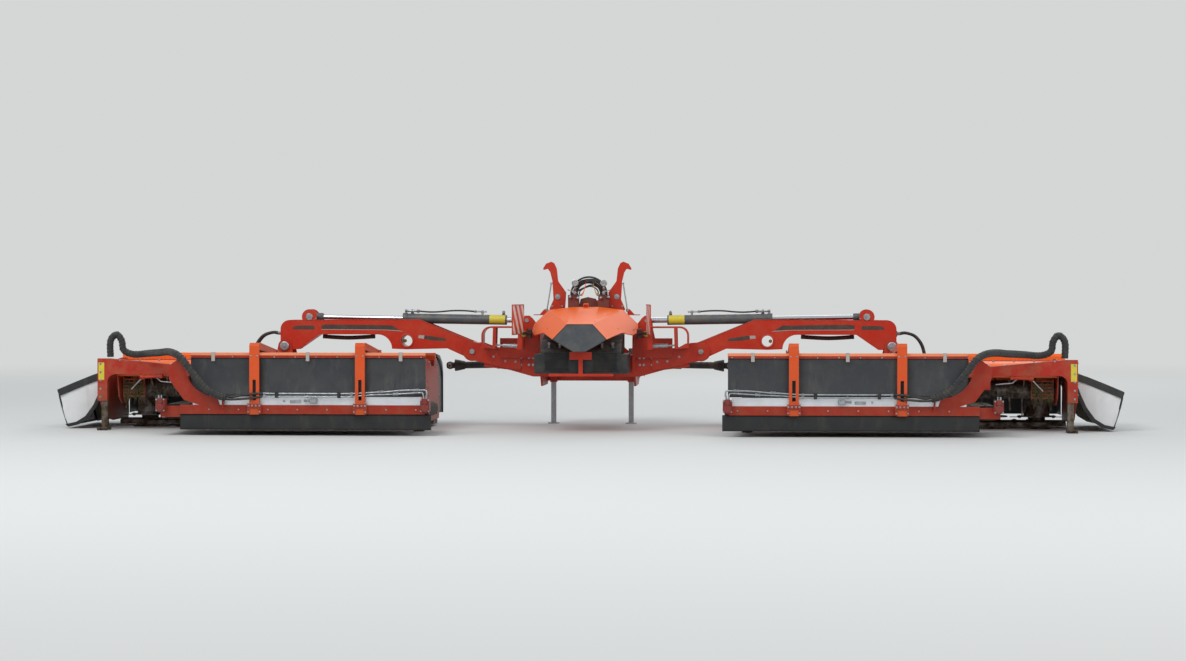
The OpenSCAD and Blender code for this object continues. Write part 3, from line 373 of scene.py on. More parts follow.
class Weldment:
    """Points and faces of one piece, given in the unit frame's millimetres on side s."""

    def __init__(self, s=1):
        self.s, self.points, self.faces = s, [], []

    def loft(self, rings):
        """Skins closed rings of equal length, one after the other, and caps both ends."""
        n, start = len(rings[0]), len(self.points)
        faces = [(i * n + k, i * n + (k + 1) % n, (i + 1) * n + (k + 1) % n, (i + 1) * n + k)
                 for i in range(len(rings) - 1) for k in range(n)]
        faces += [range(n), range((len(rings) - 1) * n, len(rings) * n)]
        self.points += [spot(self.s, *p) for ring in rings for p in ring]
        self.faces += [[start + i for i in face] for face in faces]

    def turned(self, start, along, profile, sides=24):
        """A body of revolution from start: profile gives (distance along, radius)."""
        u = Vector(along).normalized()
        v = u.orthogonal().normalized()
        w = u.cross(v)
        circle = [v * c + w * d for c, d in (around(k / sides) for k in range(sides))]
        self.loft([[Vector(start) + u * d + out * max(r, 0.02) for out in circle] for d, r in profile])

    def rod(self, a, b, r, sides=16, chamfer=1.0):
        """A round bar from a to b with broken edges."""
        run = (Vector(b) - Vector(a)).length
        profile = ((0, r - chamfer), (chamfer, r), (run - chamfer, r), (run, r - chamfer))
        self.turned(a, Vector(b) - Vector(a), profile, sides)

    def plate(self, outline, place, low, high):
        """An outline of (u, v) pairs, thick from low to high along the axis that place leaves free."""
        self.loft([[place(u, v, w) for u, v in outline] for w in (low, high)])

    def slab(self, lo, hi, chamfer=2.0):
        """A bar or block with broken edges."""
        c = min([chamfer] + [(b - a) / 3 for a, b in zip(lo, hi)])
        (x0, y0, z0), (x1, y1, z1) = lo, hi
        self.loft([[(x0 + c + i, y0 + i, z), (x1 - c - i, y0 + i, z), (x1 - i, y0 + c + i, z),
                    (x1 - i, y1 - c - i, z), (x1 - c - i, y1 - i, z), (x0 + c + i, y1 - i, z),
                    (x0 + i, y1 - c - i, z), (x0 + i, y0 + c + i, z)]
                   for z, i in ((z0, c), (z0 + c, 0), (z1 - c, 0), (z1, c))])

    def bolt(self, at, along, size, shank=0.0):
        """A hexagon head with its washer, seated on at and standing along the direction."""
        at, u = Vector(at), Vector(along).normalized()
        self.turned(at - u * 1.5, u, ((0, size * 1.05), (size * 0.2 + 1.5, size * 1.05)), 20)
        head = ((0, size * 0.92), (size * 0.5, size * 0.92), (size * 0.62, size * 0.75))
        self.turned(at + u * size * 0.2, u, head, 6)
        if shank:
            thread = ((0, size * 0.5), (shank, size * 0.5), (shank + 2, size * 0.4))
            self.turned(at + u * size * 0.6, u, thread, 12)

    def make(self, name, body, finish):
        """Turns the points and faces into one smooth-shaded piece that rides on the body."""
        mesh = bpy.data.meshes.new(name)
        mesh.from_pydata([tuple(p) for p in self.points], [], self.faces)
        form = bmesh.new()
        form.from_mesh(mesh)
        bmesh.ops.remove_doubles(form, verts=form.verts, dist=1e-6)
        bmesh.ops.recalc_face_normals(form, faces=form.faces)
        form.to_mesh(mesh)
        form.free()
        mesh.shade_smooth()
        mesh.set_sharp_from_angle(angle=math.radians(32))
        mesh.materials.append(finish)
        made = bpy.data.objects.new(name, mesh)
        bpy.context.scene.collection.objects.link(made)
        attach(made, body)


# rows of bolts in (x, z) on the clevis cheeks and the beam, and in (y, z) on the outer cheek
clevis_bolts = ((690, 650), (690, 700), (790, 655), (790, 735), (905, 700))
beam_bolts = [(x, z) for x in (520, 560, 640) for z in (620, 690)]
cheek_bolts = ((-380, 620), (-300, 620), (-220, 620), (300, 470), (420, 470), (540, 470), (300, 830),
               (420, 830))
clevis_rear, clevis_front, beam_rear_y, cheek_x = arm_y - 125, arm_y + 125, -406, 470
lock_y, lock_cap, lock_foot = -560, ((0, 14), (10, 17), (24, 17), (30, 10)), ((0, 14), (10, 18), (28, 12))
stop_steps = ((-6, 20), (4, 28), (22, 28), (26, 24), (26, 11), (34, 10))
for side, s in SIDES:
    bolts = Weldment(s)
    for x, z in clevis_bolts:
        bolts.bolt((x, clevis_rear, z), (0, -1, 0), 11, 6)
        bolts.bolt((x, clevis_front, z), (0, 1, 0), 11, 6)
    for x, z in beam_bolts:
        bolts.bolt((x, beam_rear_y, z), (0, -1, 0), 12)
    for y, z in cheek_bolts:
        bolts.bolt((cheek_x, y, z), (1, 0, 0), 11, 5)
    for z in (470, 560):
        bolts.bolt((440, 690, z), (0, 1, 0), 12, 8)
    bolts.make(f"{side}_headstock_bolts", "headstock", zinc)
    # the fold lock: a small plated cylinder inside the cage, with its two ends on pins
    lock = Weldment(s)
    lock.rod((640, lock_y, 806), (800, lock_y, 812), 20)
    lock.rod((796, lock_y, 812), (872, lock_y, 815), 9)
    lock.turned((866, lock_y, 815), (1, 0, 0), lock_cap, 20)
    lock.turned((640, lock_y, 806), (-1, 0, 0), lock_foot, 20)
    lock.make(f"{side}_fold_lock", "headstock", zinc)
    stop = Weldment(s)
    stop.turned((591, -640, 924), (0, -1, 0), stop_steps, 32)
    stop.make(f"{side}_stop_bolt", "headstock", yellow_zinc)

# Hitch and hinge pins.
# Turned and hardened steel, bright where the links rub and browned elsewhere. A linch pin of
# plated spring wire stands through each lower hitch pin.


def turned_steel():
    """Turned steel: bright, dulled by handling and a little brown in places."""
    made, tree, shader, at = new_finish("steel_turned_bare", 0.32, metallic=1.0)
    rust = node(tree, "TexNoise", {"Vector": at, "Scale": 1 / 0.04, "Detail": 8.0, "Roughness": 0.65})
    spots = node(tree, "MapRange", {"Value": rust, "From Min": 0.52, "From Max": 0.68, "To Max": 0.75})
    mixed = node(tree, "MixRGB", {"Fac": spots, "Color1": linear("#a9a9a6"), "Color2": linear("#6d4c35")})
    dull = node(tree, "MapRange", {"Value": spots, "To Min": 0.3, "To Max": 0.75})
    fill(tree, shader, {"Base Color": mixed, "Roughness": dull})
    relief(tree, shader, rust, 0.0003)
    return made


bare_steel = turned_steel()
coat(bare_steel, "frame_pins")
linch_x, linch_y = 516, 800
for side, s in SIDES:
    clip = Weldment(s)
    clip.rod((linch_x, linch_y, 470), (linch_x, linch_y, 534), 4.5, 10)
    legs = [around(k / 12) for k in range(13)]
    wire = [Vector((linch_x, linch_y + 20 * c, 546 + 14 * d)) for c, d in legs]
    for a, b in zip(wire, wire[1:]):
        clip.rod(a, b, 2.5, 8, 0.3)
    clip.make(f"{side}_linch_pin", "headstock", zinc)

# Central gearbox.
# Ductile iron casting in red paint, darkened as painted shade for the shadow under the hood, with a
# splined input stub. Round covers are bolted over its shafts and a flat one over its top, with a plated
# breather.


def cast_iron(name, colour):
    """Sand-cast iron under one coat of paint: grainy, matt, oily dust in its corners."""
    made, tree, shader, at = new_finish(name, 0.6)
    dust_over(tree, shader, at, linear(colour), "#6b5f4c", 0.6, patch=0.1)
    # sand grain is 1 mm across in life, drawn at 4 mm
    relief(tree, shader, node(tree, "TexNoise", {"Vector": at, "Scale": 1 / 0.004, "Detail": 3.0}), 0.0012)
    return made


iron = cast_iron("cast_iron_dark_red_and_painted_shade", "#6e2a1e")
# the gearbox's dark red is painted shade: it stands for the shadow under the hood
coat(iron, "center_gearbox")
input_z, output_y, output_z, lid_top = 640, 50, 620, 798
input_cover, output_cover = ((-4, 116), (10, 116), (14, 108)), ((0, 92), (12, 92), (16, 86))
covers = Weldment()
covers.turned((0, 232, input_z), (0, 1, 0), input_cover, 48)
covers.slab((-150, 20, lid_top - 10), (150, 210, lid_top), 4)
gear_bolts = Weldment()
for k in range(10):
    c, d = around(k / 10, 102)
    gear_bolts.bolt((c, 246, input_z + d), (0, 1, 0), 7)
for x in (-130, 0, 130):
    for y in (36, 194):
        gear_bolts.bolt((x, y, lid_top), (0, 0, 1), 7)
for s in (-1, 1):
    covers.turned((s * 168, output_y, output_z), (s, 0, 0), output_cover, 40)
    for k in range(6):
        c, d = around((k + 0.5) / 6, 76)
        gear_bolts.bolt((s * 184, output_y + c, output_z + d), (s, 0, 0), 7)
breather = ((0, 20), (14, 20), (16, 14), (26, 14), (30, 8))
gear_bolts.turned((60, 120, lid_top - 2), (0, 0, 1), breather, 20)
covers.make("gearbox_covers", "headstock", iron)
gear_bolts.make("gearbox_bolts", "headstock", zinc)

# Hood over the power pack.
# Folded sheet steel in flat facets, coated orange, with a turned-in hem and a dark plate at its
# tail that is bare. It rests on two red stays, and carries a small red lamp on its front edge.
coat(orange_coat, "center_hood")
hem = Weldment()
hood_screws = Weldment()
screw_head = ((0, 11), (2, 11), (4, 7), (6, 6), (7, 3))
up = Vector((0, 0, 1))
for s in (-1, 1):
    crown, shoulder, waist, tip, cuff = (Vector((s * x, y, z)) for x, y, z in (
        (120, -440, 1184), (360, -440, 1154), (120, -1380, 1030), (253, -1410, 892), (512, -607, 946)))
    flank = [Vector((s * x, y, z)) for x, y, z in ((372, -964, 946), (470, -784, 920))]
    rim = [tip, *flank, cuff, Vector((s * 500, -440, 1020)), shoulder, crown]
    for a, b in zip(rim, rim[1:]):
        hem.rod(a - 4 * up, b - 4 * up, 5, 8, 0.5)
    out = Vector((s, -0.4, 1.05))
    for at, normal in ((crown * 0.1 + shoulder * 0.8 + waist * 0.1, up),
                       (shoulder * 0.45 + crown * 0.15 + waist * 0.4, up),
                       (crown * 0.1 + shoulder * 0.05 + waist * 0.85, up),
                       (shoulder * 0.12 + cuff * 0.8 + tip * 0.08, out),
                       (shoulder * 0.3 + cuff * 0.2 + tip * 0.5, out)):
        hood_screws.turned(at - normal.normalized(), normal, screw_head, 16)
hem.make("hood_hem", "headstock", orange_coat)
hood_stays = Weldment()
for x in (-280, 280):
    hood_stays.slab((x - 22, -486, 1143), (x + 22, -442, 1158), 2)
    hood_stays.slab((x - 22, -446, 1128), (x + 22, -440, 1158), 1)
hood_stays.make("hood_stays", "headstock", red_coat)
hood_screws.make("hood_screws", "headstock", orange_coat)


def coated_sheet(name, colour, gloss):
    """Dark powder coat with a fine texture, dulled by dust on top."""
    made, tree, shader, at = new_finish(name, gloss)
    dust_over(tree, shader, at, linear(colour), "#8d8671", 0.32, patch=0.09)
    # the coat's texture is 0.5 mm in life, drawn at 4 mm
    relief(tree, shader, node(tree, "TexNoise", {"Vector": at, "Scale": 1 / 0.004, "Detail": 2.0}), 0.0004)
    return made


slate = coated_sheet("powder_coat_slate_textured", "#33373c", 0.5)
soot = coated_sheet("powder_coat_black_textured", "#151617", 0.6)
coat(slate, "hood_skirt")
edge_strip = Weldment()
tail = [Vector(p) for p in ((-253, -1411, 884), (-120, -1381, 1024), (120, -1381, 1024), (253, -1411, 884),
                            (55, -1439, 770), (-55, -1439, 770), (-253, -1411, 884))]
for a, b in zip(tail, tail[1:]):
    edge_strip.rod(a, b, 3.5, 8, 0.5)
edge_strip.make("tail_plate_edge", "headstock", soot)


def lamp_lens(name, colour):
    """Moulded acrylic lens: clear colour over 20 mm ribs that break up the light."""
    made, tree, shader, at = new_finish(name, 0.12, ior=1.49, coat=0.5)
    fill(tree, shader, {"Base Color": linear(colour), "Transmission Weight": 0.25})
    ribs = node(tree, "TexWave", {"Vector": at, "Scale": 1 / 0.02}, bands_direction="X")
    relief(tree, shader, ribs.outputs["Fac"], 0.0015)
    return made


red_lens = lamp_lens("acrylic_lens_red", "#b01c14")
dark_lens = lamp_lens("acrylic_lens_smoked_red", "#3a0d0b")
lamp = Weldment()
lamp.slab((-26, -462, 1184), (26, -440, 1218), 5)
lamp.make("hood_lamp_housing", "headstock", orange_coat)
lens = Weldment()
lens.slab((-21, -472, 1189), (21, -460, 1209), 4)
lens.make("hood_lamp_lens", "headstock", red_lens)

# Power pack.
# Black oil tank and cooler of folded sheet under the hood, coated black. The cooler's grilles
# face the rear, and the tank has two filler caps and a row of plated hose unions.
coat(soot, "power_pack")
grille_x, grille_y, grille_low, grille_top = 230, -1232, 600, 752
filler_cap = ((0, 44), (20, 44), (26, 38), (30, 12))
pack = Weldment()
for s in (-1, 1):
    x = grille_x * s
    for z in range(grille_low, grille_top, 14):
        pack.slab((x - 110, grille_y - 4, z), (x + 110, grille_y + 4, z + 5), 1)
    for z0, z1 in ((grille_low - 14, grille_low - 6), (grille_top + 4, grille_top + 13)):
        pack.slab((x - 125, grille_y - 8, z0), (x + 125, grille_y + 6, z1), 2)
    pack.turned((s * 260, -760, 920), (0, 0, 1), filler_cap, 28)
pack.make("power_pack_cooler", "headstock", soot)
unions = Weldment()
pack_union = ((0, 18), (8, 18), (8, 14), (34, 14), (36, 17), (52, 17), (54, 10))
for x in (-300, -200, 200, 300):
    unions.turned((x, -1170, 806), (0, -0.53, 0.85), pack_union, 6)
unions.make("power_pack_unions", "headstock", zinc)

# Hydraulic controls.
# A painted cast valve block on its shelf, with two oil-filled gauges on short stems, unions
# with bent tails, and a tap lever beside each gauge.
coat(iron, "hydraulic_controls")


def dial():
    """Printed card under glass: pale grey and satin."""
    made, tree, shader, at = new_finish("dial_card_printed", 0.35)
    fill(tree, shader, {"Base Color": linear("#a3a6a3")})
    relief(tree, shader, node(tree, "TexNoise", {"Vector": at, "Scale": 1 / 0.01}), 0.0001)
    return made


def needle_paint():
    """Enamel paint: plain black, for the ticks and the needle."""
    made, tree, shader = new_finish("needle_paint_black", 0.5)[:3]
    fill(tree, shader, {"Base Color": linear("#151515")})
    return made


card = dial()
ink = needle_paint()
gauge_z, dial_y = 1416, -419
bezel_rim = ((0, 28), (3, 31.5), (30, 31.5), (36, 33), (40, 33), (42, 29), (42, 27), (38, 26.5))
gauge_stem = ((0, 9), (10, 9), (10, 13), (26, 13), (26, 8), (60, 8), (62, 14), (84, 14))
tap_body = ((0, 17), (12, 17), (12, 13), (34, 13), (34, 17), (52, 17), (56, 12))
tap_outlet = ((0, 12), (20, 12), (20, 16), (38, 16), (44, 10))


def printed_mark(piece, x, y, angle, outline, thick):
    """A mark on the dial: its outline is (distance out, distance across) at the angle."""
    c, d = around(angle / 360)
    u, v, centre = Vector((c, 0, d)), Vector((-d, 0, c)), Vector((x, y, gauge_z))
    piece.loft([[centre + u * r + v * w - Vector((0, deep, 0)) for r, w in outline] for deep in (0, thick)])


for name, x in (("left", -110), ("right", 170)):
    bezel = Weldment()
    bezel.turned((x, -378, gauge_z), (0, -1, 0), bezel_rim, 36)
    bezel.turned((x, -392, gauge_z - 28), (0, 0, -1), gauge_stem, 6)
    bezel.make(f"{name}_gauge_bezel", "headstock", zinc)
    face = Weldment()
    face.turned((x, dial_y + 2, gauge_z), (0, -1, 0), ((0, 26), (1, 26)), 36)
    face.make(f"{name}_gauge_face", "headstock", card)
    ticks = Weldment()
    for k in range(11):
        printed_mark(ticks, x, dial_y + 0.4, 225 - 27 * k, ((17, -1), (24, -1), (24, 1), (17, 1)), 0.6)
    printed_mark(ticks, x, dial_y, 170, ((-6, -2), (21, -0.6), (21, 0.6), (-6, 2)), 0.8)
    ticks.turned((x, dial_y + 1, gauge_z), (0, -1, 0), ((0, 3.5), (3, 3.5)), 12)
    ticks.make(f"{name}_gauge_needle", "headstock", ink)
    taps = Weldment()
    inward = 1 if x < 0 else -1
    taps.turned((x, -395, 1322), (0, -1, 0), tap_body, 6)
    taps.turned((x + inward * 12, -393, 1262), (inward * 0.4, -0.8, 0.3), tap_outlet, 6)
    taps.turned((x - inward * 30, -393, 1270), (-inward * 0.5, -0.8, 0.3), tap_outlet, 6)
    taps.rod((x + inward * 18, -377, 1290), (x + inward * 66, -377, 1306), 8, 14)
    taps.rod((x - inward * 8, -440, 1330), (x - inward * 70, -446, 1352), 5, 10)
    taps.make(f"{name}_gauge_taps", "headstock", zinc)
    lever = Weldment()
    lever.loft([[(x + inward * (60 + k * 9), y, 1300 + k * k * 5 + w)
                 for y, w in ((-380, -14), (-380, 14), (-374, 14), (-374, -14))] for k in range(6)])
    lever.make(f"{name}_tap_lever", "headstock", orange_coat if x < 0 else yellow_zinc)

# Transport hooks.
# 30 mm profile-cut plate, coated red, that holds the folded mowers. Each has a bolt in a spacer
# and a thin plated strut outside it.
coat(red_coat, "transport_hooks")
hook_rear = -265
hook_spacer, strut_head, strut_foot = (((-2, 26), (6, 26), (6, 22), (14, 22)),
                                       ((-6, 12), (22, 12), (24, 8)), ((-14, 14), (10, 14), (16, 8)))
brace_shelf = ((380, -245), (470, -245), (520, -300), (520, -330), (400, -300))
brace_gusset = ((395, 1104), (395, 1160), (420, 1160), (470, 1104))
for side, s in SIDES:
    fittings = Weldment(s)
    fittings.turned((290, hook_rear, 1283), (0, -1, 0), hook_spacer, 28)
    fittings.bolt((290, hook_rear - 14, 1283), (0, -1, 0), 15, 5)
    for x in (246, 344):
        fittings.bolt((x, hook_rear, 1190), (0, -1, 0), 9)
    fittings.turned((352, -250, 1416), (0, -1, 0), strut_head, 18)
    fittings.rod((352, -262, 1416), (395, -275, 1150), 6.5, 12)
    fittings.turned((395, -275, 1150), (0, 0, -1), strut_foot, 16)
    fittings.make(f"{side}_hook_fittings", "headstock", zinc)
    brace = Weldment(s)
    brace.plate(brace_shelf, lambda u, v, w: (u, v, w), 1102, 1110)
    brace.plate(brace_gusset, lambda u, v, w: (u, w, v), -285, -277)
    brace.make(f"{side}_hook_brace", "headstock", red_coat)

# Warning boards and tail lamps.
# Reflecting sheet in red and white stripes on folded aluminium boards, each with a tail lamp in
# a black housing on a bracket inside it.


def striped_sheet():
    """Reflecting sheet: red and white stripes 100 mm wide at 45 degrees, faded and scuffed."""
    made, tree, shader, at = new_finish("reflecting_sheet_striped", 0.35)
    place = node(tree, "SeparateXYZ", {"Vector": at}).outputs
    run = node(tree, "Math", {0: place["Z"], 1: place["Y"]}, operation="ADD")
    part = node(tree, "Math", {0: node(tree, "Math", {0: run, 1: 1 / 0.2}, operation="MULTIPLY")},
                operation="FRACT")
    stripe = node(tree, "Math", {0: part, 1: 0.5}, operation="GREATER_THAN")
    pair = node(tree, "MixRGB", {"Fac": stripe, "Color1": linear("#e4ddd6"), "Color2": linear("#c23a22")})
    dust_over(tree, shader, at, pair, "#8d7d62", 0.5, patch=0.07)
    # the sheet's glass beads are too fine to show, and are drawn as 3 mm cells
    relief(tree, shader, node(tree, "TexVoronoi", {"Vector": at, "Scale": 1 / 0.003}), 0.0002)
    return made


coat(striped_sheet(), "warning_boards")
board_low, board_top = 921, 1211
board_front, board_bend, board_rear = (599.7, -600), (599.7, -645), (656, -1164)
for side, s in SIDES:
    board_edge = Weldment(s)
    for z in (board_low, board_top - 8):
        for (x0, y0), (x1, y1) in ((board_front, board_bend), (board_bend, board_rear)):
            board_edge.loft([[(x - 9, y, z), (x + 3, y, z), (x + 3, y, z + 8), (x - 9, y, z + 8)]
                             for x, y in ((x0, y0 + 2), (x1, y1 - 2))])
    for x, y in (board_front, board_rear):
        board_edge.slab((x - 9, y - 4, board_low), (x + 3, y + 4, board_top), 1.5)
    board_edge.make(f"{side}_board_edge", "headstock", red_coat)
    box_lamp = Weldment(s)
    box_lamp.slab((505, -706, 884), (557, -652, 976), 5)
    box_lamp.slab((550, -690, 918), (603, -680, 942), 2)
    box_lamp.make(f"{side}_tail_lamp_housing", "headstock", soot)
    for part, low, high in (("stop", 918, 968), ("turn", 892, 914)):
        window = Weldment(s)
        window.slab((511, -711, low), (551, -704, high), 3)
        window.make(f"{side}_tail_lamp_{part}", "headstock", dark_lens)

# Parking stands.
# Square steel tube, hot-dip galvanised, that slides in a socket of the headstock. A plated cross
# pin through its row of holes sets the height.


def galvanised():
    """Hot-dip galvanised steel: a grey metal with 15 mm spangles, weathered matt."""
    made, tree, shader, at = new_finish("steel_hot_dip_galvanised", 0.45, metallic=1.0)
    spangle = node(tree, "TexVoronoi", {"Vector": at, "Scale": 1 / 0.015}).outputs["Color"]
    grey = node(tree, "MapRange", {"Value": node(tree, "SeparateXYZ", {"Vector": spangle}).outputs["X"]})
    mixed = node(tree, "MixRGB", {"Fac": grey, "Color1": linear("#9b9fa1"), "Color2": linear("#b5b8b9")})
    dust_over(tree, shader, at, mixed, "#7d735c", 0.4)
    fill(tree, shader, {"Roughness": node(tree, "MapRange", {"Value": grey, "To Min": 0.38, "To Max": 0.58})})
    return made


galvanised_steel = galvanised()
pin_x, pin_z = 392, 596
for side, s in SIDES:
    coat(galvanised_steel, f"{side}_parking_stand")
    pin = Weldment(s)
    pin.rod((pin_x, 540, pin_z), (pin_x, 620, pin_z), 8, 16)
    pin.turned((pin_x, 538, pin_z), (0, -1, 0), ((-4, 13), (4, 13), (6, 9)), 20)
    pin.make(f"{side}_stand_pin", "headstock", zinc)

# Carrying arms.
# Arched box girders of bent and welded plate, coated red. Each has bare dark decals, a turned
# ring round its inspection hole, and capped pins at its hinges.


def vinyl(name, colour):
    """Vinyl film with no print: satin, scuffed, its edge a little lifted by dirt."""
    made, tree, shader, at = new_finish(name, 0.3, ior=1.47)
    dust_over(tree, shader, at, linear(colour), "#8f8268", 0.4, patch=0.06)
    relief(tree, shader, node(tree, "TexNoise", {"Vector": at, "Scale": 1 / 0.01, "Detail": 6.0}), 0.0001)
    return made


dark_vinyl = vinyl("vinyl_film_charcoal", "#45362f")
light_vinyl = vinyl("vinyl_film_grey", "#a8a19a")
yellow_vinyl = vinyl("vinyl_film_yellow", "#d3c338")
arm_films = (
    ("stripe", dark_vinyl, 0.6, ((1800, 950), (1828, 955), (1905, 1004), (2560, 1012), (2604, 1002),
                                 (2596, 966), (1960, 962), (1900, 950))),
    ("stripe_edge", light_vinyl, 0.8, ((1790, 942), (1832, 946), (1962, 956), (2598, 960), (2598, 965),
                                       (1960, 961), (1830, 953))),
    ("end_badge", dark_vinyl, 0.6, ((2666, 962), (2672, 1000), (2850, 1000), (2888, 982), (2880, 962))),
    ("inner_badge", dark_vinyl, 0.6, ((1372, 850), (1378, 876), (1560, 904), (1583, 905), (1590, 870),
                                      (1500, 856))),
    ("badge_tip", light_vinyl, 0.6, ((1592, 871), (1586, 905), (1640, 906), (1648, 880))))
hole_ring = ((-3, 54), (7, 56), (9, 62), (7, 68), (-3, 70))
cylinder_pin, mower_pin = (2720, 1086), (2960, 800)    # the arm's outer hinges in (x, z)
hose_ferrule = ((0, 20), (10, 20), (10, 17), (34, 17), (38, 15.5))
ferrule_end = ((-26, 15.6), (-22, 18), (16, 18), (18, 16))
for side, s in SIDES:
    body = f"{side}_arm"
    coat(red_coat, body)
    for face, skin, out in (("rear", arm_y - 100, -1), ("front", arm_y + 100, 1)):
        away = (0, out, 0)
        for name, finish, thick, outline in arm_films:
            film = Weldment(s)
            film.plate(outline, lambda u, v, w: (u, skin + out * w, v), -0.5, thick)
            film.make(f"{side}_arm_{face}_{name}", body, finish)
        trim = Weldment(s)
        trim.turned((1759, skin, 852), away, hole_ring, 48)
        trim.faces = [f for f in trim.faces if len(f) == 4]     # the ring's two caps are left off
        trim.make(f"{side}_arm_{face}_hole_ring", body, red_coat)
        caps = Weldment(s)
        for (x, z), y, cap, size in (
                (cylinder_pin, skin, ((-2, 34), (6, 34), (9, 30)), 10),
                (mower_pin, skin + out * 36, ((-2, 41), (5, 41), (9, 36)), 15)):
            caps.turned((x, y, z), away, cap, 32)
            caps.bolt((x, y + out * 8, z), away, size)
        caps.bolt((2655, skin, 1070), away, 7)
        caps.make(f"{side}_arm_{face}_pin_caps", body, zinc)
    plug = Weldment(s)
    plug.turned((1789, arm_y - 30, 850), (0, -1, 0), ((-30, 17), (0, 17), (4, 13)), 24)
    plug.slab((1775, arm_y, 838), (1803, arm_y + 30, 862), 2)
    plug.make(f"{side}_arm_stop_plug", body, yellow_zinc)
    seams = Weldment(s)
    for (x0, z0), (x1, z1) in (((1640, 1060), (2910, 1053)), ((1110, 842), (1630, 1058))):
        for y in (arm_y - 101, arm_y + 101):
            seams.rod((x0, y, z0), (x1, y, z1), 2.6, 8, 0.3)
    seams.make(f"{side}_arm_weld_seams", body, red_coat)
    clamps = Weldment(s)
    for x in (2105, 2580):
        clamps.slab((x - 18, arm_y - 35, 872), (x + 18, arm_y + 35, 915), 4)
    clamps.slab((2992, arm_y - 50, 895), (3014, arm_y + 50, 953), 3)
    clamps.make(f"{side}_arm_hose_clamps", body, soot)
    ferrules = Weldment(s)
    for y in end_hose_ys:
        ferrules.turned((3005, y, 925), (1, 0, 0), hose_ferrule, 6)
        ferrules.turned((3285, y, 668), (0.16, 0, -1), ferrule_end, 20)
    ferrules.make(f"{side}_arm_hose_ferrules", body, zinc)

# Lift cylinders.
# Drawn steel tube, painted dark grey, with plated unions and a steel pipe along its top. The
# piston rod is hard chromed.
lift_from, lift_to = Vector((586, 0, 1052)), Vector((cylinder_pin[0], 0, cylinder_pin[1]))
lift_line = (lift_to - lift_from).normalized()
lift_up = Vector((-lift_line.z, 0, lift_line.x))


def on_lift(d, up=0.0, y=0.0):
    """A point d along the cylinder's line and up above it."""
    p = lift_from + lift_line * d + lift_up * up
    return (p.x, arm_y + y, p.z)


def cylinder_paint():
    """Brushed-on chassis paint, dark grey and satin, with oily dust."""
    made, tree, shader, at = new_finish("chassis_paint_dark_grey", 0.42)
    dust_over(tree, shader, at, linear("#4a4d50"), "#8a7f68", 0.6, patch=0.1)
    drawn_out = node(tree, "Mapping", {"Vector": at, "Scale": (0.1, 1.0, 1.0)})
    strokes = node(tree, "TexNoise", {"Vector": drawn_out, "Scale": 1 / 0.006, "Detail": 2.0})
    relief(tree, shader, strokes, 0.0004)
    return made


def hard_chrome():
    """Hard chrome, ground along its turning: mirror bright with fine rings and a trace of oil."""
    made, tree, shader, at = new_finish("hard_chrome_ground", 0.1, metallic=1.0)
    turned_round = node(tree, "Mapping", {"Vector": at, "Scale": (1.0, 0.1, 0.1)})
    rings = node(tree, "TexNoise", {"Vector": turned_round, "Scale": 1 / 0.003, "Detail": 2.0})
    dull = node(tree, "MapRange", {"Value": rings, "To Min": 0.06, "To Max": 0.2})
    fill(tree, shader, {"Base Color": linear("#d3d5d6"), "Roughness": dull})
    return made


chassis_grey = cylinder_paint()
chrome = hard_chrome()
gland = ((-2, 53), (6, 55), (30, 55), (38, 51), (44, 51), (46, 30), (46, 23.4), (40, 23.2))
rod_collar = ((-2, 24), (0, 34), (8, 39), (60, 39), (80, 36), (97, 36))
feed_line = ((522, 78), (620, 84), (740, 82), (860, 70), (960, 66), (1062, 72))
elbow = ((-24, 11), (-4, 11), (-4, 15), (12, 15), (14, 9), (20, 9))
ports, feed_r, label_out, label_in = (232, 1130), 0.008, 48.7, 47.8
for side, s in SIDES:
    body = f"{side}_lift_cylinder"
    coat(chassis_grey, body)
    coat(chrome, f"{side}_lift_rod")
    neck = Weldment(s)
    neck.rod(on_lift(38), on_lift(203), 27, 24)
    neck.make(f"{side}_cylinder_neck", body, chrome)
    glands = Weldment(s)
    glands.turned(on_lift(1178), lift_line, gland, 40)
    for d in ports:
        glands.turned(on_lift(d, 44), lift_up, ((0, 17), (12, 17), (12, 13), (30, 13)), 6)
    glands.make(f"{side}_cylinder_gland", body, chassis_grey)
    unions = Weldment(s)
    for d in (*ports, 440):
        unions.turned(on_lift(d, 70), lift_up, elbow, 6)
    unions.rod(on_lift(400, 78), on_lift(500, 78), 8, 12)
    unions.turned(on_lift(500, 78), lift_line, ((0, 13), (22, 13), (24, 9)), 6)
    unions.rod(on_lift(1075, 72, -6), on_lift(1190, 72, -6), 11, 14)
    unions.turned(on_lift(1060, 72, -6), lift_line, ((0, 17), (26, 17)), 6)
    unions.turned(on_lift(1180, 72, -6), lift_line, ((0, 16), (22, 16), (24, 10)), 6)
    unions.make(f"{side}_cylinder_unions", body, zinc)
    feed = smooth_line([spot(s, *on_lift(d, up)) for d, up in feed_line], 8)
    pipe = hose(f"{side}_cylinder_feed_hose", body, feed, feed_r, rubber)
    # a blank yellow sticker is wrapped over the side and top of the barrel
    label = Weldment(s)
    wrap = [(label_out, a) for a in range(-48, 73, 8)] + [(label_in, a) for a in range(72, -49, -8)]
    legs = [around(a / 360, r) for r, a in wrap]
    label.loft([[on_lift(d, rise, -back) for back, rise in legs] for d in (214, 368)])
    label.make(f"{side}_cylinder_label", body, yellow_vinyl)
    rod_end = Weldment(s)
    rod_end.turned(on_lift(2006), lift_line, rod_collar, 32)
    rod_end.make(f"{side}_rod_end", f"{side}_lift_rod", chassis_grey)

# Drive shafts.
# Telescopic shafts in black moulded guards, with ribbed cones at both ends. Steel caps hold the
# cross of the universal joint at each end.


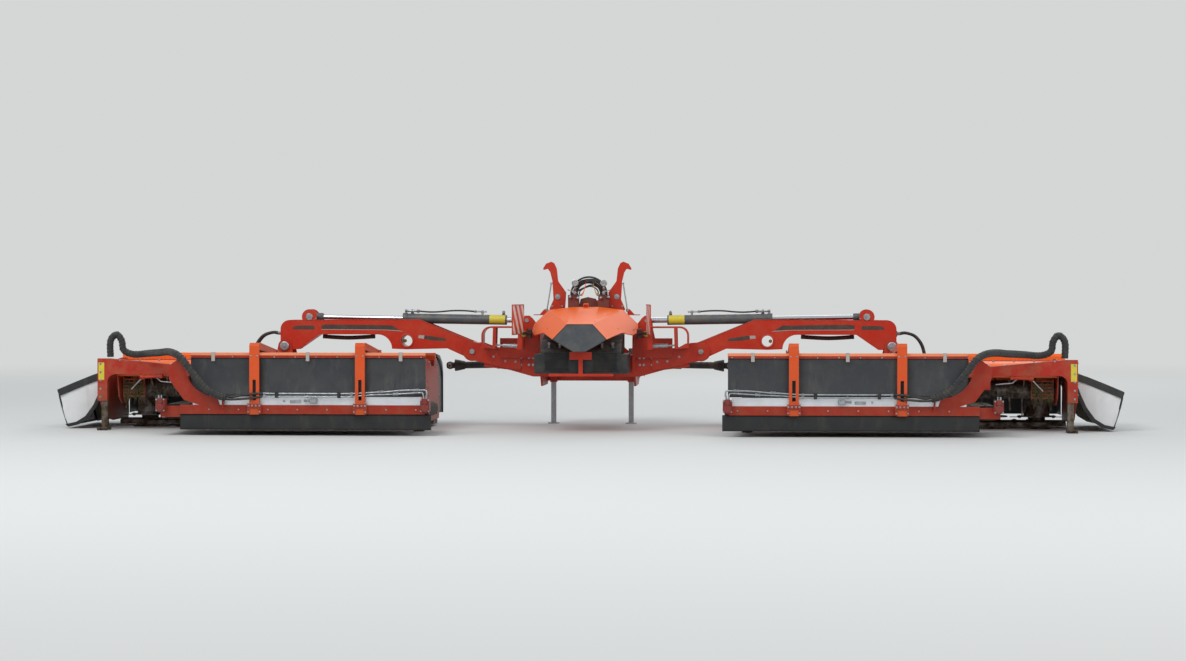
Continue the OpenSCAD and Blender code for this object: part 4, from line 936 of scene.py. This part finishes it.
def guard_plastic():
    """Injection-moulded polyethylene: waxy black, greyed by sun and dust, in 50 mm ribs."""
    made, tree, shader, at = new_finish("polyethylene_moulded_black", 0.5, ior=1.51)
    dust_over(tree, shader, at, linear("#212223"), "#8c8068", 0.6, patch=0.09)
    ribs = node(tree, "TexWave", {"Vector": at, "Scale": 1 / 0.05}, bands_direction="X")
    relief(tree, shader, ribs.outputs["Fac"], 0.0015)
    return made


moulded_black = guard_plastic()
shaft_from, shaft_run = Vector((340, output_y, output_z)), Vector((1045, 0, -20))
along = shaft_run.normalized()
for side, s in SIDES:
    body = f"{side}_drive_shaft"
    coat(moulded_black, body)
    cones = Weldment(s)
    for k in range(7):
        for d, r in ((72 + 15 * k, 60 - 3 * k), (900 + 12 * k, 40 + 2.4 * k)):
            cones.turned(shaft_from + along * d, along, ((0, r), (3, r + 4), (6, r)), 28)
    cones.turned(shaft_from + along * 185, along, ((0, 41), (4, 47), (26, 47), (30, 41)), 28)
    cones.make(f"{side}_shaft_guard_ribs", body, moulded_black)
    yokes = Weldment(s)
    for at in (shaft_from, shaft_from + along * 1045.2):
        for out in (-1, 1):
            yokes.turned(at + Vector((0, 36 * out, 0)), (0, out, 0), ((-12, 21), (6, 21), (9, 17)), 20)
    yokes.make(f"{side}_shaft_yoke_caps", body, bare_steel)

# Mower frames.
# Square main beam, arched rear beam and end plates, welded and coated red. Inside, crop has
# scoured the coat and left rust and dried juice.
inner_red = powder_coat("powder_coat_red_crop_stained", "#a82410", gloss=0.5, share=0.75, grime=0.9)
portal_rear, hinge_rear = -1020, -420
end_plate_bolts = ((-980, 660), (-980, 560), (-980, 460), (-980, 360), (-640, 650), (-520, 620),
                   (150, 480), (170, 300), (100, 600), (-120, 620), (-60, 590), (-700, 400),
                   (-620, 330), (-700, 460), (-560, 400))
gate_rods = (((4225, -1010, 512), (4262, -1010, 480)), ((4262, -1010, 480), (4345, -1000, 395)),
             ((4110, -1004, 516), (4060, -990, 470)), ((4060, -990, 470), (3905, -975, 455)))
crank_cap = ((-6, 22), (14, 24), (26, 24), (32, 16))
slat_x, slat_z, slat_pitch, slats = 4250, 318, 32, 6


def thrown_crop():
    """Cut grass and dried juice caked on steel: brown-green, matt and crumbly."""
    made, tree, shader, at = new_finish("dried_crop_on_steel", 0.9, ior=1.45)
    clumps = node(tree, "TexNoise", {"Vector": at, "Scale": 1 / 0.03, "Detail": 9.0, "Roughness": 0.7})
    mixed = node(tree, "MixRGB", {"Fac": clumps, "Color1": linear("#2f2a1d"), "Color2": linear("#6d6a3c")})
    fill(tree, shader, {"Base Color": mixed})
    relief(tree, shader, clumps, 0.006)
    return made


def caught_crop(piece):
    """Thin clippings hang from the screen's slats, with flat scabs of dried juice between them."""
    rough = random.Random(11)
    for k in range(150):
        x, row = slat_x + 6 + rough.random() * 204, rough.randrange(slats)
        place = Vector((x, -843, slat_z + slat_pitch * row + 14 * rough.random()))
        reach, thick = 25 + 55 * rough.random(), 1.6 + 1.6 * rough.random()
        for part in range(3):
            lean = Vector((rough.uniform(-0.7, 0.7), -0.35 * rough.random(), -1.1 - part))
            tip = place + lean.normalized() * (reach / 3)
            piece.rod(place, tip, thick * (1 - part * 0.2), 5, 0.4)
            place = tip
    for k in range(26):
        x, row, r = slat_x + 6 + rough.random() * 200, rough.randrange(slats), 6 + 8 * rough.random()
        scab = ((0, r), (3, r * 0.9), (5, r * 0.4))
        piece.turned((x, -840, slat_z + 2 + slat_pitch * row), (0.3, -1, 0.5), scab, 9)


dried_crop = thrown_crop()
for side, s in SIDES:
    body = f"{side}_mower"
    coat(inner_red, f"{side}_mower_frame")
    bolts = Weldment(s)
    for x in range(1600, 4640, 190):
        bolts.bolt((x, portal_rear, 675), (0, -1, 0), 9, 3)
    for z in (320, 400, 480, 560, 640):
        bolts.bolt((4640, portal_rear, z), (0, -1, 0), 10, 4)
    for x, out in ((1516, -1), (4670, 1)):
        for y, z in end_plate_bolts:
            bolts.bolt((x, y, z), (out, 0, 0), 9, 3)
    for x in (2900, 3020):
        for z in (620, 660):
            bolts.bolt((x, hinge_rear, z), (0, -1, 0), 9, 3)
    x, z = mower_pin
    bolts.turned((x, hinge_rear - 16, z), (0, -1, 0), ((-2, 44), (4, 44), (7, 38)), 32)
    bolts.make(f"{side}_mower_bolts", body, zinc)
    # the arm's three hoses end at a bulkhead on the deck
    bulkhead = Weldment(s)
    bulkhead.slab((3252, arm_y - 56, 593), (3324, arm_y + 56, 610), 4)
    for y in end_hose_ys:
        bulkhead.turned((3290, y, 609), (0, 0, 1), ((0, 16), (10, 16), (10, 10), (40, 10)), 6)
    bulkhead.make(f"{side}_hose_bulkhead", body, zinc)
    # a bare yellow sticker stands on the portal's outer leg
    film = Weldment(s)
    film.plate(((4604, 486), (4604, 652), (4660, 652), (4660, 486)),
               lambda u, v, w: (u, portal_rear - w, v), -0.5, 0.7)
    film.make(f"{side}_portal_label", body, yellow_vinyl)
    # crank that sets the swath gate: a red tube with a bent bright rod
    crank = Weldment(s)
    crank.rod((4060, -1000, 520), (4225, -1010, 512), 15, 20)
    crank.turned((4225, -1010, 512), (1, 0, -0.05), crank_cap, 24)
    crank.slab((4040, -1012, 500), (4075, -960, 566), 4)
    crank.make(f"{side}_gate_crank", body, red_coat)
    gate_rod = Weldment(s)
    for a, b in gate_rods:
        gate_rod.rod(a, b, 6.5, 12)
    gate_rod.make(f"{side}_gate_rod", body, zinc)
    # swath plates inside the portal: a bent sheet at the inner side, and a slatted screen
    plates = Weldment(s)
    bent = ((3802, 420), (3806, 420), (3880, 530), (3876, 532))
    plates.plate(bent, lambda u, v, w: (u, w, v), -1010, -820)
    for k in range(slats):
        z = slat_z + slat_pitch * k
        plates.slab((slat_x, -842, z), (slat_x + 212, -834, z + 14), 2)
    for x in (slat_x, slat_x + 100, slat_x + 200):
        plates.slab((x, -836, slat_z - 14), (x + 14, -828, slat_z + 188), 2)
    plates.make(f"{side}_portal_plates", body, inner_red)
    cake = Weldment(s)
    caught_crop(cake)
    cake.make(f"{side}_portal_crop", body, dried_crop)

# Rotor covers.
# Rolled sheet over the rotor and a folded deck along the main beam, coated orange, with a
# ridged top strip and rows of carriage bolts.
rotor_y, rotor_z = -660, 400
for side, s in SIDES:
    coat(orange_coat, f"{side}_mower_hood")
    body = f"{side}_mower"
    strip = Weldment(s)
    for x in range(1740, 4460, 40):
        if not 2830 < x < 3060:                         # the mower's hinge stands there
            strip.slab((x, -150, 660), (x + 18, -50, 666), 2)
    strip.make(f"{side}_deck_ridges", body, orange_coat)
    rows = Weldment(s)
    for x in range(1760, 4470, 150):
        for a in (20, 55, 118):
            u = Vector((0, *around(a / 360)))
            rows.turned(Vector((x, rotor_y, rotor_z)) + u * 266, u, ((0, 11), (3, 10), (6, 6)), 14)
    rows.make(f"{side}_cover_bolts", body, zinc)

# Cutterbeds, discs and rotors.
# Pressed steel bed with forged skids below each disc, and a rotor behind it with collars along
# its shaft. Soil polishes the skids, and wet crop rusts and stains the rest.


def scoured_steel(name, dark, bright):
    """Forged and rolled steel, scoured bright in places and rusted or stained in others."""
    made, tree, shader, at = new_finish(name, 0.5, metallic=0.75)
    cloud = node(tree, "TexNoise", {"Vector": at, "Scale": 1 / 0.07, "Detail": 9.0, "Roughness": 0.65})
    share = node(tree, "MapRange", {"Value": cloud, "From Min": 0.4, "From Max": 0.62})
    mixed = node(tree, "MixRGB", {"Fac": share, "Color1": linear(dark), "Color2": linear(bright)})
    dust_over(tree, shader, at, mixed, "#57552f", 0.8, patch=0.05)
    dull = node(tree, "MapRange", {"Value": share, "To Min": 0.75, "To Max": 0.38})
    fill(tree, shader, {"Roughness": dull})
    relief(tree, shader, cloud, 0.0015)
    return made


bed_steel = scoured_steel("steel_forged_soil_worn", "#4a3425", "#7e756b")
disc_steel = scoured_steel("steel_pressed_crop_worn", "#5a4634", "#a8a6a2")
tine_steel = scoured_steel("steel_tine_crop_worn", "#43342a", "#77706a")
discs, first_disc, disc_pitch, knife_r = 7, 1798, 432, 164
bed_cover = ((0, 36), (6, 36), (9, 30), (9, 16), (16, 14))
hub_nut = ((0, 22), (8, 22), (12, 17), (12, 10), (20, 9))
for side, s in SIDES:
    coat(bed_steel, f"{side}_cutterbar")
    coat(tine_steel, f"{side}_conditioner_rotor")
    bed_bolts = Weldment(s)
    for k in range(discs):
        x = first_disc + disc_pitch * k
        for dx in (-80, 80):
            bed_bolts.bolt((x + dx, 120, 72), (0, 0, 1), 8, 2)
            bed_bolts.bolt((x + dx, -110, 70), (0, 0, 1), 8, 2)
        if k < discs - 1:
            bed_bolts.turned((x + disc_pitch / 2, 0, 71), (0, 0, 1), bed_cover, 28)
    bed_bolts.make(f"{side}_bed_bolts", f"{side}_mower", bed_steel)
    for k in range(discs):
        # the end discs carry tall crop drums, with a ring of bolts on top
        body, x, drum = f"{side}_disc_{k + 1}", first_disc + disc_pitch * k, k in (0, discs - 1)
        turn = 0.25 * (k % 2)
        coat(disc_steel, body)
        parts = Weldment(s)
        parts.turned((x, 0, 350 if drum else 158), (0, 0, 1), hub_nut, 20)
        for a in (turn, turn + 0.5):
            c, d = around(a, knife_r)
            parts.turned((x + c, d, 115), (0, 0, 1), ((-6, 16), (2, 16), (6, 14), (9, 8)), 20)
            parts.turned((x + c, d, 103), (0, 0, -1), ((-2, 14), (6, 14), (9, 9)), 20)
        for ring in range(6):
            c, d = around(turn + ring / 6, 78 if drum else 64)
            parts.bolt((x + c, d, 350 if drum else 129), (0, 0, 1), 7)
        parts.make(f"{body}_fasteners", body, zinc if drum else disc_steel)
    collars = Weldment(s)
    for x in range(1753, 4470, 124):
        collar = ((0, 89), (2, 92), (16, 92), (18, 89))
        collars.turned((x - 2, rotor_y, rotor_z), (1, 0, 0), collar, 40)
    collars.faces = [f for f in collars.faces if len(f) == 4]      # their caps would lie inside the shaft
    collars.make(f"{side}_rotor_collars", f"{side}_rotor", tine_steel)

# Swath belt frames.
# Carrying arms of folded plate in a duller orange coat, bolted through feet onto a red rear
# beam. A strip in a pale orange that is painted highlight, for the light on its top face, clamps the
# curtain along its top, under three grey plastic clips.
arm_orange = powder_coat("powder_coat_orange_carrying_arms", "#cf4c17", share=0.2)
beam_red = powder_coat("powder_coat_red_belt_beam", "#9a2109", grime=0.35)
strip_orange_painted_highlight = powder_coat("powder_coat_orange_painted_highlight", "#e6855c", share=0.2)
carry_xs = (1994, 2977)
foot_rear, beam_rear = -1938, -1890


def bright_rail():
    """Mill-finish aluminium rail: pale, drawn along its length, dulled by dust and clippings."""
    made, tree, shader, at = new_finish("aluminium_mill_finish", 0.45, metallic=0.85)
    drawn_out = node(tree, "Mapping", {"Vector": at, "Scale": (0.02, 1.0, 1.0)})
    drawn = node(tree, "TexNoise", {"Vector": drawn_out, "Scale": 1 / 0.004, "Detail": 3.0})
    tone = node(tree, "MixRGB", {"Fac": drawn, "Color1": linear("#cfd2d6"), "Color2": linear("#eff0f3")})
    dust_over(tree, shader, at, tone, "#8b8455", 0.5, patch=0.16)
    dull = node(tree, "MapRange", {"Value": drawn, "To Min": 0.35, "To Max": 0.55})
    fill(tree, shader, {"Roughness": dull})
    return made


rail_metal = bright_rail()
for side, s in SIDES:
    body = f"{side}_belt_unit"
    coat(beam_red, f"{side}_belt_frame")
    coat(arm_orange, f"{side}_carrying_arms")
    coat(rail_metal, f"{side}_belt_rail")
    for number, x in enumerate(carry_xs):
        # shims of red coat under the foot's bolts, then the bolts themselves
        foot = Weldment(s)
        foot.slab((x - 60, foot_rear, 260), (x + 60, foot_rear + 4, 300), 1.5)
        bolts = Weldment(s)
        for dx in (-50, -18, 18, 50):
            bolts.bolt((x + dx, foot_rear, 281), (0, -1, 0), 9, 5)
        for dx in (-53, 53):
            foot.slab((x + dx - 8, foot_rear, 204), (x + dx + 8, foot_rear + 4, 256), 1.5)
            bolts.bolt((x + dx, foot_rear, 224), (0, -1, 0), 7, 3)
            bolts.bolt((x + dx * 0.55, foot_rear + 13, 740), (0, -1, 0), 8, 3)
        foot.make(f"{side}_carrying_arm_foot_{number + 1}", body, beam_red)
        bolts.make(f"{side}_carrying_arm_bolts_{number + 1}", body, zinc)
    # the strip's pale orange is painted highlight: it stands for the light on its top face
    strip = Weldment(s)
    strip.slab((1390, beam_rear - 4, 742), (3580, beam_rear + 22, 770), 3)
    strip.make(f"{side}_curtain_strip", body, strip_orange_painted_highlight)
    for number, x in enumerate((1620, 2484, 3365)):
        clip = Weldment(s)
        clip.slab((x - 17, beam_rear - 9, 690), (x + 17, beam_rear, 772), 3)
        clip.slab((x - 17, beam_rear - 9, 768), (x + 17, beam_rear + 28, 774), 2)
        clip.make(f"{side}_curtain_clip_{number + 1}", body, light_vinyl)
    screws = Weldment(s)
    for x in range(1430, 3580, 195):
        screws.bolt((x, beam_rear, 730), (0, -1, 0), 6, 2)
    for x in range(1480, 3680, 275):
        screws.bolt((x, beam_rear, 243), (0, -1, 0), 7, 2)
    screws.make(f"{side}_beam_bolts", body, zinc)

# Belt motors and pipes.
# A cast gear motor, painted dark red, turns each roller. Two plated steel pipes run along the
# rail to them, clamped in blocks, with elbows and rubber ends.
motor_iron = cast_iron("cast_iron_painted_motor_red", "#7a231c")
motor_cap = ((0, 44), (18, 44), (24, 36), (46, 36), (50, 30))
pipe_union = ((0, 14), (20, 14), (20, 11), (34, 11), (34, 14), (48, 14))
valve_port = ((-2, 12), (18, 12), (18, 9), (40, 9), (40, 12), (56, 12))
# the upper and the lower pipe: their places on the rail, their radii and their bends
rail_ys, rail_zs, pipe_rs, tail_r = (-1906, -1914), (392, 366), (8, 7), 0.011
pipe_bends = (((1372, -1952, 372), (1372, -1950, 408), (1384, -1944, 426), (1440, -1934, 428),
               (1600, -1914, 424), (1760, -1908, 410), (1880, -1902, 404)),
              ((1404, -1952, 372), (1406, -1948, 394), (1430, -1938, 404), (1560, -1920, 396),
               (1740, -1908, 386), (1900, -1902, 380)))
tail_bends = (((2990, -1936, 390), (3090, -1958, 376), (3180, -1964, 362), (3250, -1958, 372)),
              ((2990, -1938, 352), (3090, -1962, 344), (3180, -1972, 340), (3250, -1976, 345)))


def run_pipe(piece, line, r):
    """Skins a bent steel pipe along the line, one straight stretch after the other."""
    rings = []
    for i, at in enumerate(line):
        a, b = (at, line[i + 1]) if i + 1 < len(line) else (line[i - 1], at)
        along = (b - a).normalized()
        v = along.cross(Vector((0, 0.3, 1) if abs(along.z) < 0.9 else (0, 1, 0))).normalized()
        w = along.cross(v)
        rings.append([at + v * c + w * d for c, d in (around(k / 12, r) for k in range(12))])
    for first, second in zip(rings, rings[1:]):
        piece.loft([first, second])


for side, s in SIDES:
    body = f"{side}_belt_unit"
    for end, x in (("inner", 1389), ("outer", 3849)):
        motor = Weldment(s)
        motor.slab((x - 43, -1960, 226), (x + 43, foot_rear, 346), 6)
        motor.turned((x, -1936, 262), (0, -1, 0), motor_cap, 32)
        motor.slab((x - 22, -1975, 296), (x + 22, -1925, 350), 5)
        motor.make(f"{side}_{end}_motor", body, motor_iron)
        bolts = Weldment(s)
        for dx in (-34, 34):
            for z in (236, 336):
                bolts.bolt((x + dx, -1960, z), (0, -1, 0), 8, 3)
        for dx in (-12, 12):
            bolts.turned((x + dx, -1955, 348), (0, 0, 1), ((-2, 10), (14, 10), (14, 8), (30, 8)), 6)
        bolts.make(f"{side}_{end}_motor_bolts", body, zinc)
    pipes = Weldment(s)
    for bends, r, y, z in zip(pipe_bends, pipe_rs, rail_ys, rail_zs):
        bends = [Vector(p) for p in (*bends, (2066, y, z))]
        run_pipe(pipes, smooth_line(bends, 4) + [Vector((2890, y, z))], r)
    for y, z in zip(rail_ys, rail_zs):
        for x in (2062, 2872):
            pipes.turned((x, y, z), (1, 0, 0), ((0, 12), (24, 12)), 6)
    for at in ((1448, -1933, 428), (1780, -1907, 409), (1640, -1914, 392)):
        pipes.turned(at, (1, 0, -0.05), pipe_union, 6)
    pipes.make(f"{side}_belt_pipes", body, zinc)
    blocks = Weldment(s)
    for x in (2190, 2770):
        blocks.slab((x - 16, -1924, 352), (x + 16, -1884, 404), 4)
    blocks.make(f"{side}_pipe_clamps", body, soot)
    # a small valve block and a plain bracket sit on the rail between the arms
    valve = Weldment(s)
    valve.slab((2396, -1926, 300), (2462, -1882, 348), 4)
    valve.turned((2462, -1906, 326), (1, 0, 0), valve_port, 6)
    valve.slab((2548, -1890, 304), (2650, -1881, 330), 2)
    valve.turned((2706, -1882, 322), (0, -1, 0), ((-2, 11), (5, 11), (5, 8), (10, 8)), 18)
    valve.slab((2476, -1896, 352), (2492, -1882, 380), 2)
    valve.make(f"{side}_rail_valve", body, zinc)
    for name, bends, y, z in zip(("upper", "lower"), tail_bends, rail_ys, rail_zs):
        line = smooth_line([spot(s, *p) for p in ((2904, y, z), *bends)], 6)
        tail = hose(f"{side}_{name}_pipe_tail", body, line, tail_r, rubber)

# Curtains and flaps.
# A sheet of PVC-coated polyester hangs slightly hollow behind each belt and stops what flies off
# it. A rubber flap hangs from the beam below it.


def coated_fabric(name, colour, dust, share, thread=0.004):
    """PVC-coated polyester: a soft satin skin over a weave, with 1 mm threads drawn at 4 mm."""
    made, tree, shader, at = new_finish(name, 0.55, ior=1.53)
    tint = dusty(tree, at, linear(colour), dust, share, patch=0.2)[0]
    drawn_out = node(tree, "Mapping", {"Vector": at, "Scale": (1.0, 1.0, 0.25)})
    stains = node(tree, "TexNoise", {"Vector": drawn_out, "Scale": 1 / 0.09, "Detail": 8.0,
                                     "Roughness": 0.65})
    runs = node(tree, "MapRange", {"Value": stains, "From Min": 0.52, "From Max": 0.75,
                                   "To Max": share * 0.8})
    mixed = node(tree, "MixRGB", {"Fac": runs, "Color1": tint, "Color2": linear(dust)})
    fill(tree, shader, {"Base Color": mixed, "Sheen Weight": 0.08})
    warp, weft = (node(tree, "TexWave", {"Vector": at, "Scale": 1 / thread / 6.28},
                       bands_direction=way).outputs["Fac"] for way in "XZ")
    relief(tree, shader, node(tree, "Math", {0: warp, 1: weft}, operation="MAXIMUM"), 0.0003)
    return made


def cloth(name, body, s, across, down, surface, finish, thickness=0.003):
    """One curved sheet from a surface over (0..1, 0..1), sewn to a real thickness. It also gives
    the sheet's width and drop along its middle, and its area."""
    rows = [[spot(s, *surface(i / across, k / down)) for i in range(across + 1)] for k in range(down + 1)]
    points = [p for row in rows for p in row]
    row = across + 1
    faces = [(k * row + i, k * row + i + 1, (k + 1) * row + i + 1, (k + 1) * row + i)
             for k in range(down) for i in range(across)]
    middle, plumb = rows[down // 2], [line[across // 2] for line in rows]
    width, drop = (sum((b - a).length for a, b in zip(line, line[1:])) for line in (middle, plumb))
    corners = [[points[i] for i in face] for face in faces]
    area = sum((c - a).cross(d - b).length / 2 for a, b, c, d in corners)
    mesh = bpy.data.meshes.new(name)
    mesh.from_pydata([tuple(p) for p in points], [], faces)
    mesh.shade_smooth()
    mesh.materials.append(finish)
    made = bpy.data.objects.new(name, mesh)
    bpy.context.scene.collection.objects.link(made)
    sewn = made.modifiers.new("thickness", "SOLIDIFY")
    sewn.thickness = thickness
    sewn.offset = 0.0
    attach(made, body)
    return made, (width, drop), area


curtain_cloth = coated_fabric("pvc_coated_polyester_slate", "#282b2f", "#85806f", 0.22)
flap_rubber = coated_fabric("rubber_sheet_ribbed_black", "#101113", "#5f5b45", 0.22, thread=0.01)
curtain_top, curtain_low, curtain_inner, curtain_outer, hollow_r = 724, 366, 1392, 3578, 1100
flap_top, flap_drop, flap_inner, flap_outer = 203, 148, 1340, 3680


def curtain_form(u, v):
    """Hollow from its top strip to its hem, rippled between them and pushed in by the arms."""
    x = curtain_inner + u * (curtain_outer - curtain_inner)
    half = (curtain_top - curtain_low) / 2
    off = half - 2 * half * v
    y = beam_rear + 16 + math.sqrt(hollow_r ** 2 - off ** 2) - math.sqrt(hollow_r ** 2 - half ** 2)
    ripple = 2.6 * math.sin(x / 118) + 1.8 * math.sin(x / 47 + 1.3) * math.sin(v * 4)
    y += math.sin(math.pi * v) * ripple
    for arm in carry_xs:
        y += 5 * math.exp(-((x - arm) / 60) ** 2)
    return x, y, curtain_low + half + off


def flap_form(u, v):
    """Straight along the beam, and waved towards its free edge."""
    x = flap_inner + u * (flap_outer - flap_inner)
    wave = 4 + 3 * math.sin(x / 90) + 2 * math.sin(x / 37)
    return x, -1870 + v * v * wave, flap_top - v * flap_drop


for side, s in SIDES:
    body = f"{side}_belt_unit"
    for name, across, down, form, finish, thickness in (
            ("curtain", 150, 16, curtain_form, curtain_cloth, 0.003),
            ("flap", 130, 8, flap_form, flap_rubber, 0.006)):
        hung, size, area = cloth(f"{side}_{name}", body, s, across, down, form, finish, thickness)
        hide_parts(f"{side}_belt_curtains")

# Belts.
# Two-ply rubber belt over steel rollers, moulded with low cleats that run across it every
# 140 mm.


def belt_rubber():
    """Moulded belt rubber: dull black, greened by crop, with 12 mm ribs across its run."""
    made, tree, shader, at = new_finish("rubber_belt_moulded", 0.7, ior=1.52)
    dust_over(tree, shader, at, linear("#232425"), "#555a2c", 0.8, patch=0.15)
    ribs = node(tree, "TexWave", {"Vector": at, "Scale": 1 / 0.012 / 6.28}, bands_direction="Y")
    relief(tree, shader, ribs.outputs["Fac"], 0.001)
    return made


belt_finish = belt_rubber()
for side, s in SIDES:
    coat(belt_finish, f"{side}_belt_loop")
    cleats = Weldment(s)
    for x in range(1500, 3790, 140):
        cleat = ((x - 8, 288), (x - 5, 296), (x + 5, 296), (x + 8, 288))
        cleats.plate(cleat, lambda u, v, w: (u, w, v), -1795, -1070)
    cleats.make(f"{side}_belt_cleats", f"{side}_belt_unit", belt_finish)

# Front guards.
# A bent sheet on hinges, with a coated-fabric skirt hung from its front edge against stones. The
# skirt turns the corner at both ends and closes them below the guard's ribs.
guard_grey = coated_sheet("powder_coat_graphite_textured", "#45494d", 0.5)
skirt_cloth = coated_fabric("pvc_coated_polyester_black", "#2c2e30", "#857d66", 0.4)
skirt_inner, skirt_outer, skirt_y, skirt_top, skirt_hem = 1520, 4666, 581, 480, 114
corner_rear, corner_hem, corner_top = 214, 116, ((212, 654), (290, 648), (485, 570), (572, 478))
corner_front = 570


def corner_form(x):
    """The skirt's end at x, hung below the guard's rib from the end plate to the front."""
    def surface(u, v):
        y = corner_rear + u * (corner_front - corner_rear)
        (y0, z0), (y1, z1) = next(pair for pair in zip(corner_top, corner_top[1:]) if y <= pair[1][0])
        top = z0 + (z1 - z0) * (y - y0) / (y1 - y0)
        return x + 3 * math.sin(y / 23) * v, y, top - v * (top - corner_hem)
    return surface


def skirt_form(u, v):
    """The skirt's front, in folds that open towards its hem."""
    x = skirt_inner + u * (skirt_outer - skirt_inner)
    fold = 5 + 6 * math.sin(x / 76) + 3 * math.sin(x / 31 + 1)
    return x, skirt_y + v * fold, skirt_top - v * (skirt_top - skirt_hem)


for side, s in SIDES:
    body = f"{side}_front_guard"
    coat(guard_grey, body)
    bolts = Weldment(s)
    for x in range(1580, 4640, 210):
        bolts.bolt((x, 575, 490), (0, 1, 0), 8, 2)
        bolts.turned((x, 180, 697), (0, 0.1, 1), ((-2, 12), (3, 12), (6, 8)), 16)
    bolts.make(f"{side}_front_guard_bolts", body, zinc)
    strap = Weldment(s)
    strap.slab((skirt_inner - 2, 574, 478), (skirt_outer + 2, 584, 506), 2)
    for x in (1528, 4658):
        for a, b in zip(corner_top, corner_top[1:]):
            strap.rod((x, *a), (x, *b), 5, 8)
    strap.make(f"{side}_skirt_strap", body, guard_grey)
    skirt, size, area = cloth(f"{side}_front_skirt", body, s, 190, 14, skirt_form, skirt_cloth)
    for name, x in (("inner", skirt_inner + 16), ("outer", skirt_outer - 16)):
        corner, size, area = cloth(f"{side}_skirt_{name}_end", body, s, 30, 12, corner_form(x), skirt_cloth)

# Side guards.
# White PVC-coated canvas laced over a black tube frame, hinged on the end plate. Its borders
# are bound in black webbing.
canvas = coated_fabric("pvc_coated_canvas_white", "#dcdddc", "#8f8872", 0.3)
binding = coated_fabric("polyester_webbing_black", "#191a1c", "#6f6a55", 0.35, thread=0.003)
stained_canvas = coated_fabric("pvc_coated_canvas_grass_stained", "#8d8f83", "#4f4e34", 0.9)
hinge_x, outer_x = 4706, 5138
canvas_rear, canvas_front, canvas_length, panel_drop = -700, 450, 1.15, 0.45
# the end panel's lower and upper edge in (x, z), from the hinge line to the outer corner
panel_hem = ((hinge_x - 31, 440), (4715, 330), (4770, 210), (4850, 100), (4940, 45), (5046, 22))
panel_top = ((hinge_x - 20, 552), (4790, 518), (4880, 482), (4970, 446), (5060, 408), (5142, 373))
square_x, square_z = 0.37, 0.93                         # square to the panel's upper edge


def canvas_form(u, v):
    """Over the tube from the hinge in a low swell, then down the outer side in shallow folds."""
    bend = 0.45
    sag, fold = math.sin(math.pi * u), 6.4 * math.sin(u * 23) * v * (1 - v)
    if v < bend:
        t = v / bend
        x = hinge_x - 4 + t * (outer_x - hinge_x + 4)
        z = 553 - t * 184 + (10 - 8 * sag) * math.sin(math.pi * t)
    else:
        t = (v - bend) / (1 - bend)
        x = outer_x + 14 * math.sin(math.pi * t) ** 0.8 * (1 - t) - 86 * t ** 1.15 - (6 * sag if t else 0)
        z = 369 - 347 * t
    return x + fold, canvas_rear + u * (canvas_front - canvas_rear), z


def along_edge(edge, u):
    """A point at the share u of an edge with equal parts."""
    i = min(int(u * (len(edge) - 1)), len(edge) - 2)
    t = u * (len(edge) - 1) - i
    return [a + (b - a) * t for a, b in zip(edge[i], edge[i + 1])]


def panel_form(y0, out):
    """An end panel at y0, puffed out between its edges."""
    def surface(u, v):
        (x0, z0), (x1, z1) = along_edge(panel_top, u), along_edge(panel_hem, u)
        puff = (12 * math.sin(math.pi * u) + 2.5 * math.sin(17 * u + 5 * v)) * math.sin(math.pi * v)
        return x0 + (x1 - x0) * v, y0 + out * puff, z0 + (z1 - z0) * v
    return surface


for side, s in SIDES:
    body = f"{side}_side_guard"
    outer, size, area = cloth(f"{side}_canvas_outer", body, s, 48, 40, canvas_form, canvas)
    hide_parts(body)
    tubes = Weldment(s)
    hinge_tube, low_tube, outer_tube, foot_tube = (
        (hinge_x - 8, 548), (hinge_x - 22, 446), (5136, 366), (5046, 28))
    for y in (canvas_rear + 8, canvas_front - 8):
        for (x0, z0), (x1, z1) in ((hinge_tube, outer_tube), (outer_tube, foot_tube), (hinge_tube, low_tube)):
            tubes.rod((x0, y, z0), (x1, y, z1), 11, 16)
    for x, z, r in ((5136, 366, 11), (5046, 30, 9)):
        tubes.rod((x, canvas_rear, z), (x, canvas_front, z), r, 16)
    for y in (-640, -200, 20):
        tubes.rod((hinge_x, y, 548), (hinge_x, y + 140, 548), 12, 20)
    tubes.slab((hinge_x - 8, canvas_rear, 540), (hinge_x + 10, canvas_front, 556), 3)
    tubes.make(f"{side}_canvas_frame", body, soot)
    for name, y0, out, finish in (("rear", canvas_rear, -1, canvas),
                                  ("front", canvas_front, 1, stained_canvas)):
        panel, size, area = cloth(f"{side}_canvas_{name}", body, s, 40, 28, panel_form(y0, out), finish)
        band = Weldment(s)
        band.loft([[(x + square_x * rise, y0 + out * off, z + square_z * rise)
                    for rise, off in ((6, 16), (-62, 19), (-62, 13), (6, -1))] for x, z in panel_top])
        band.loft([[(x + wide, y0 + out * off, z + wide)
                    for wide, off in ((-6, 7), (20, 11), (20, 7), (-6, 1))] for x, z in panel_hem])
        band.make(f"{side}_canvas_binding_{name}", body, binding)
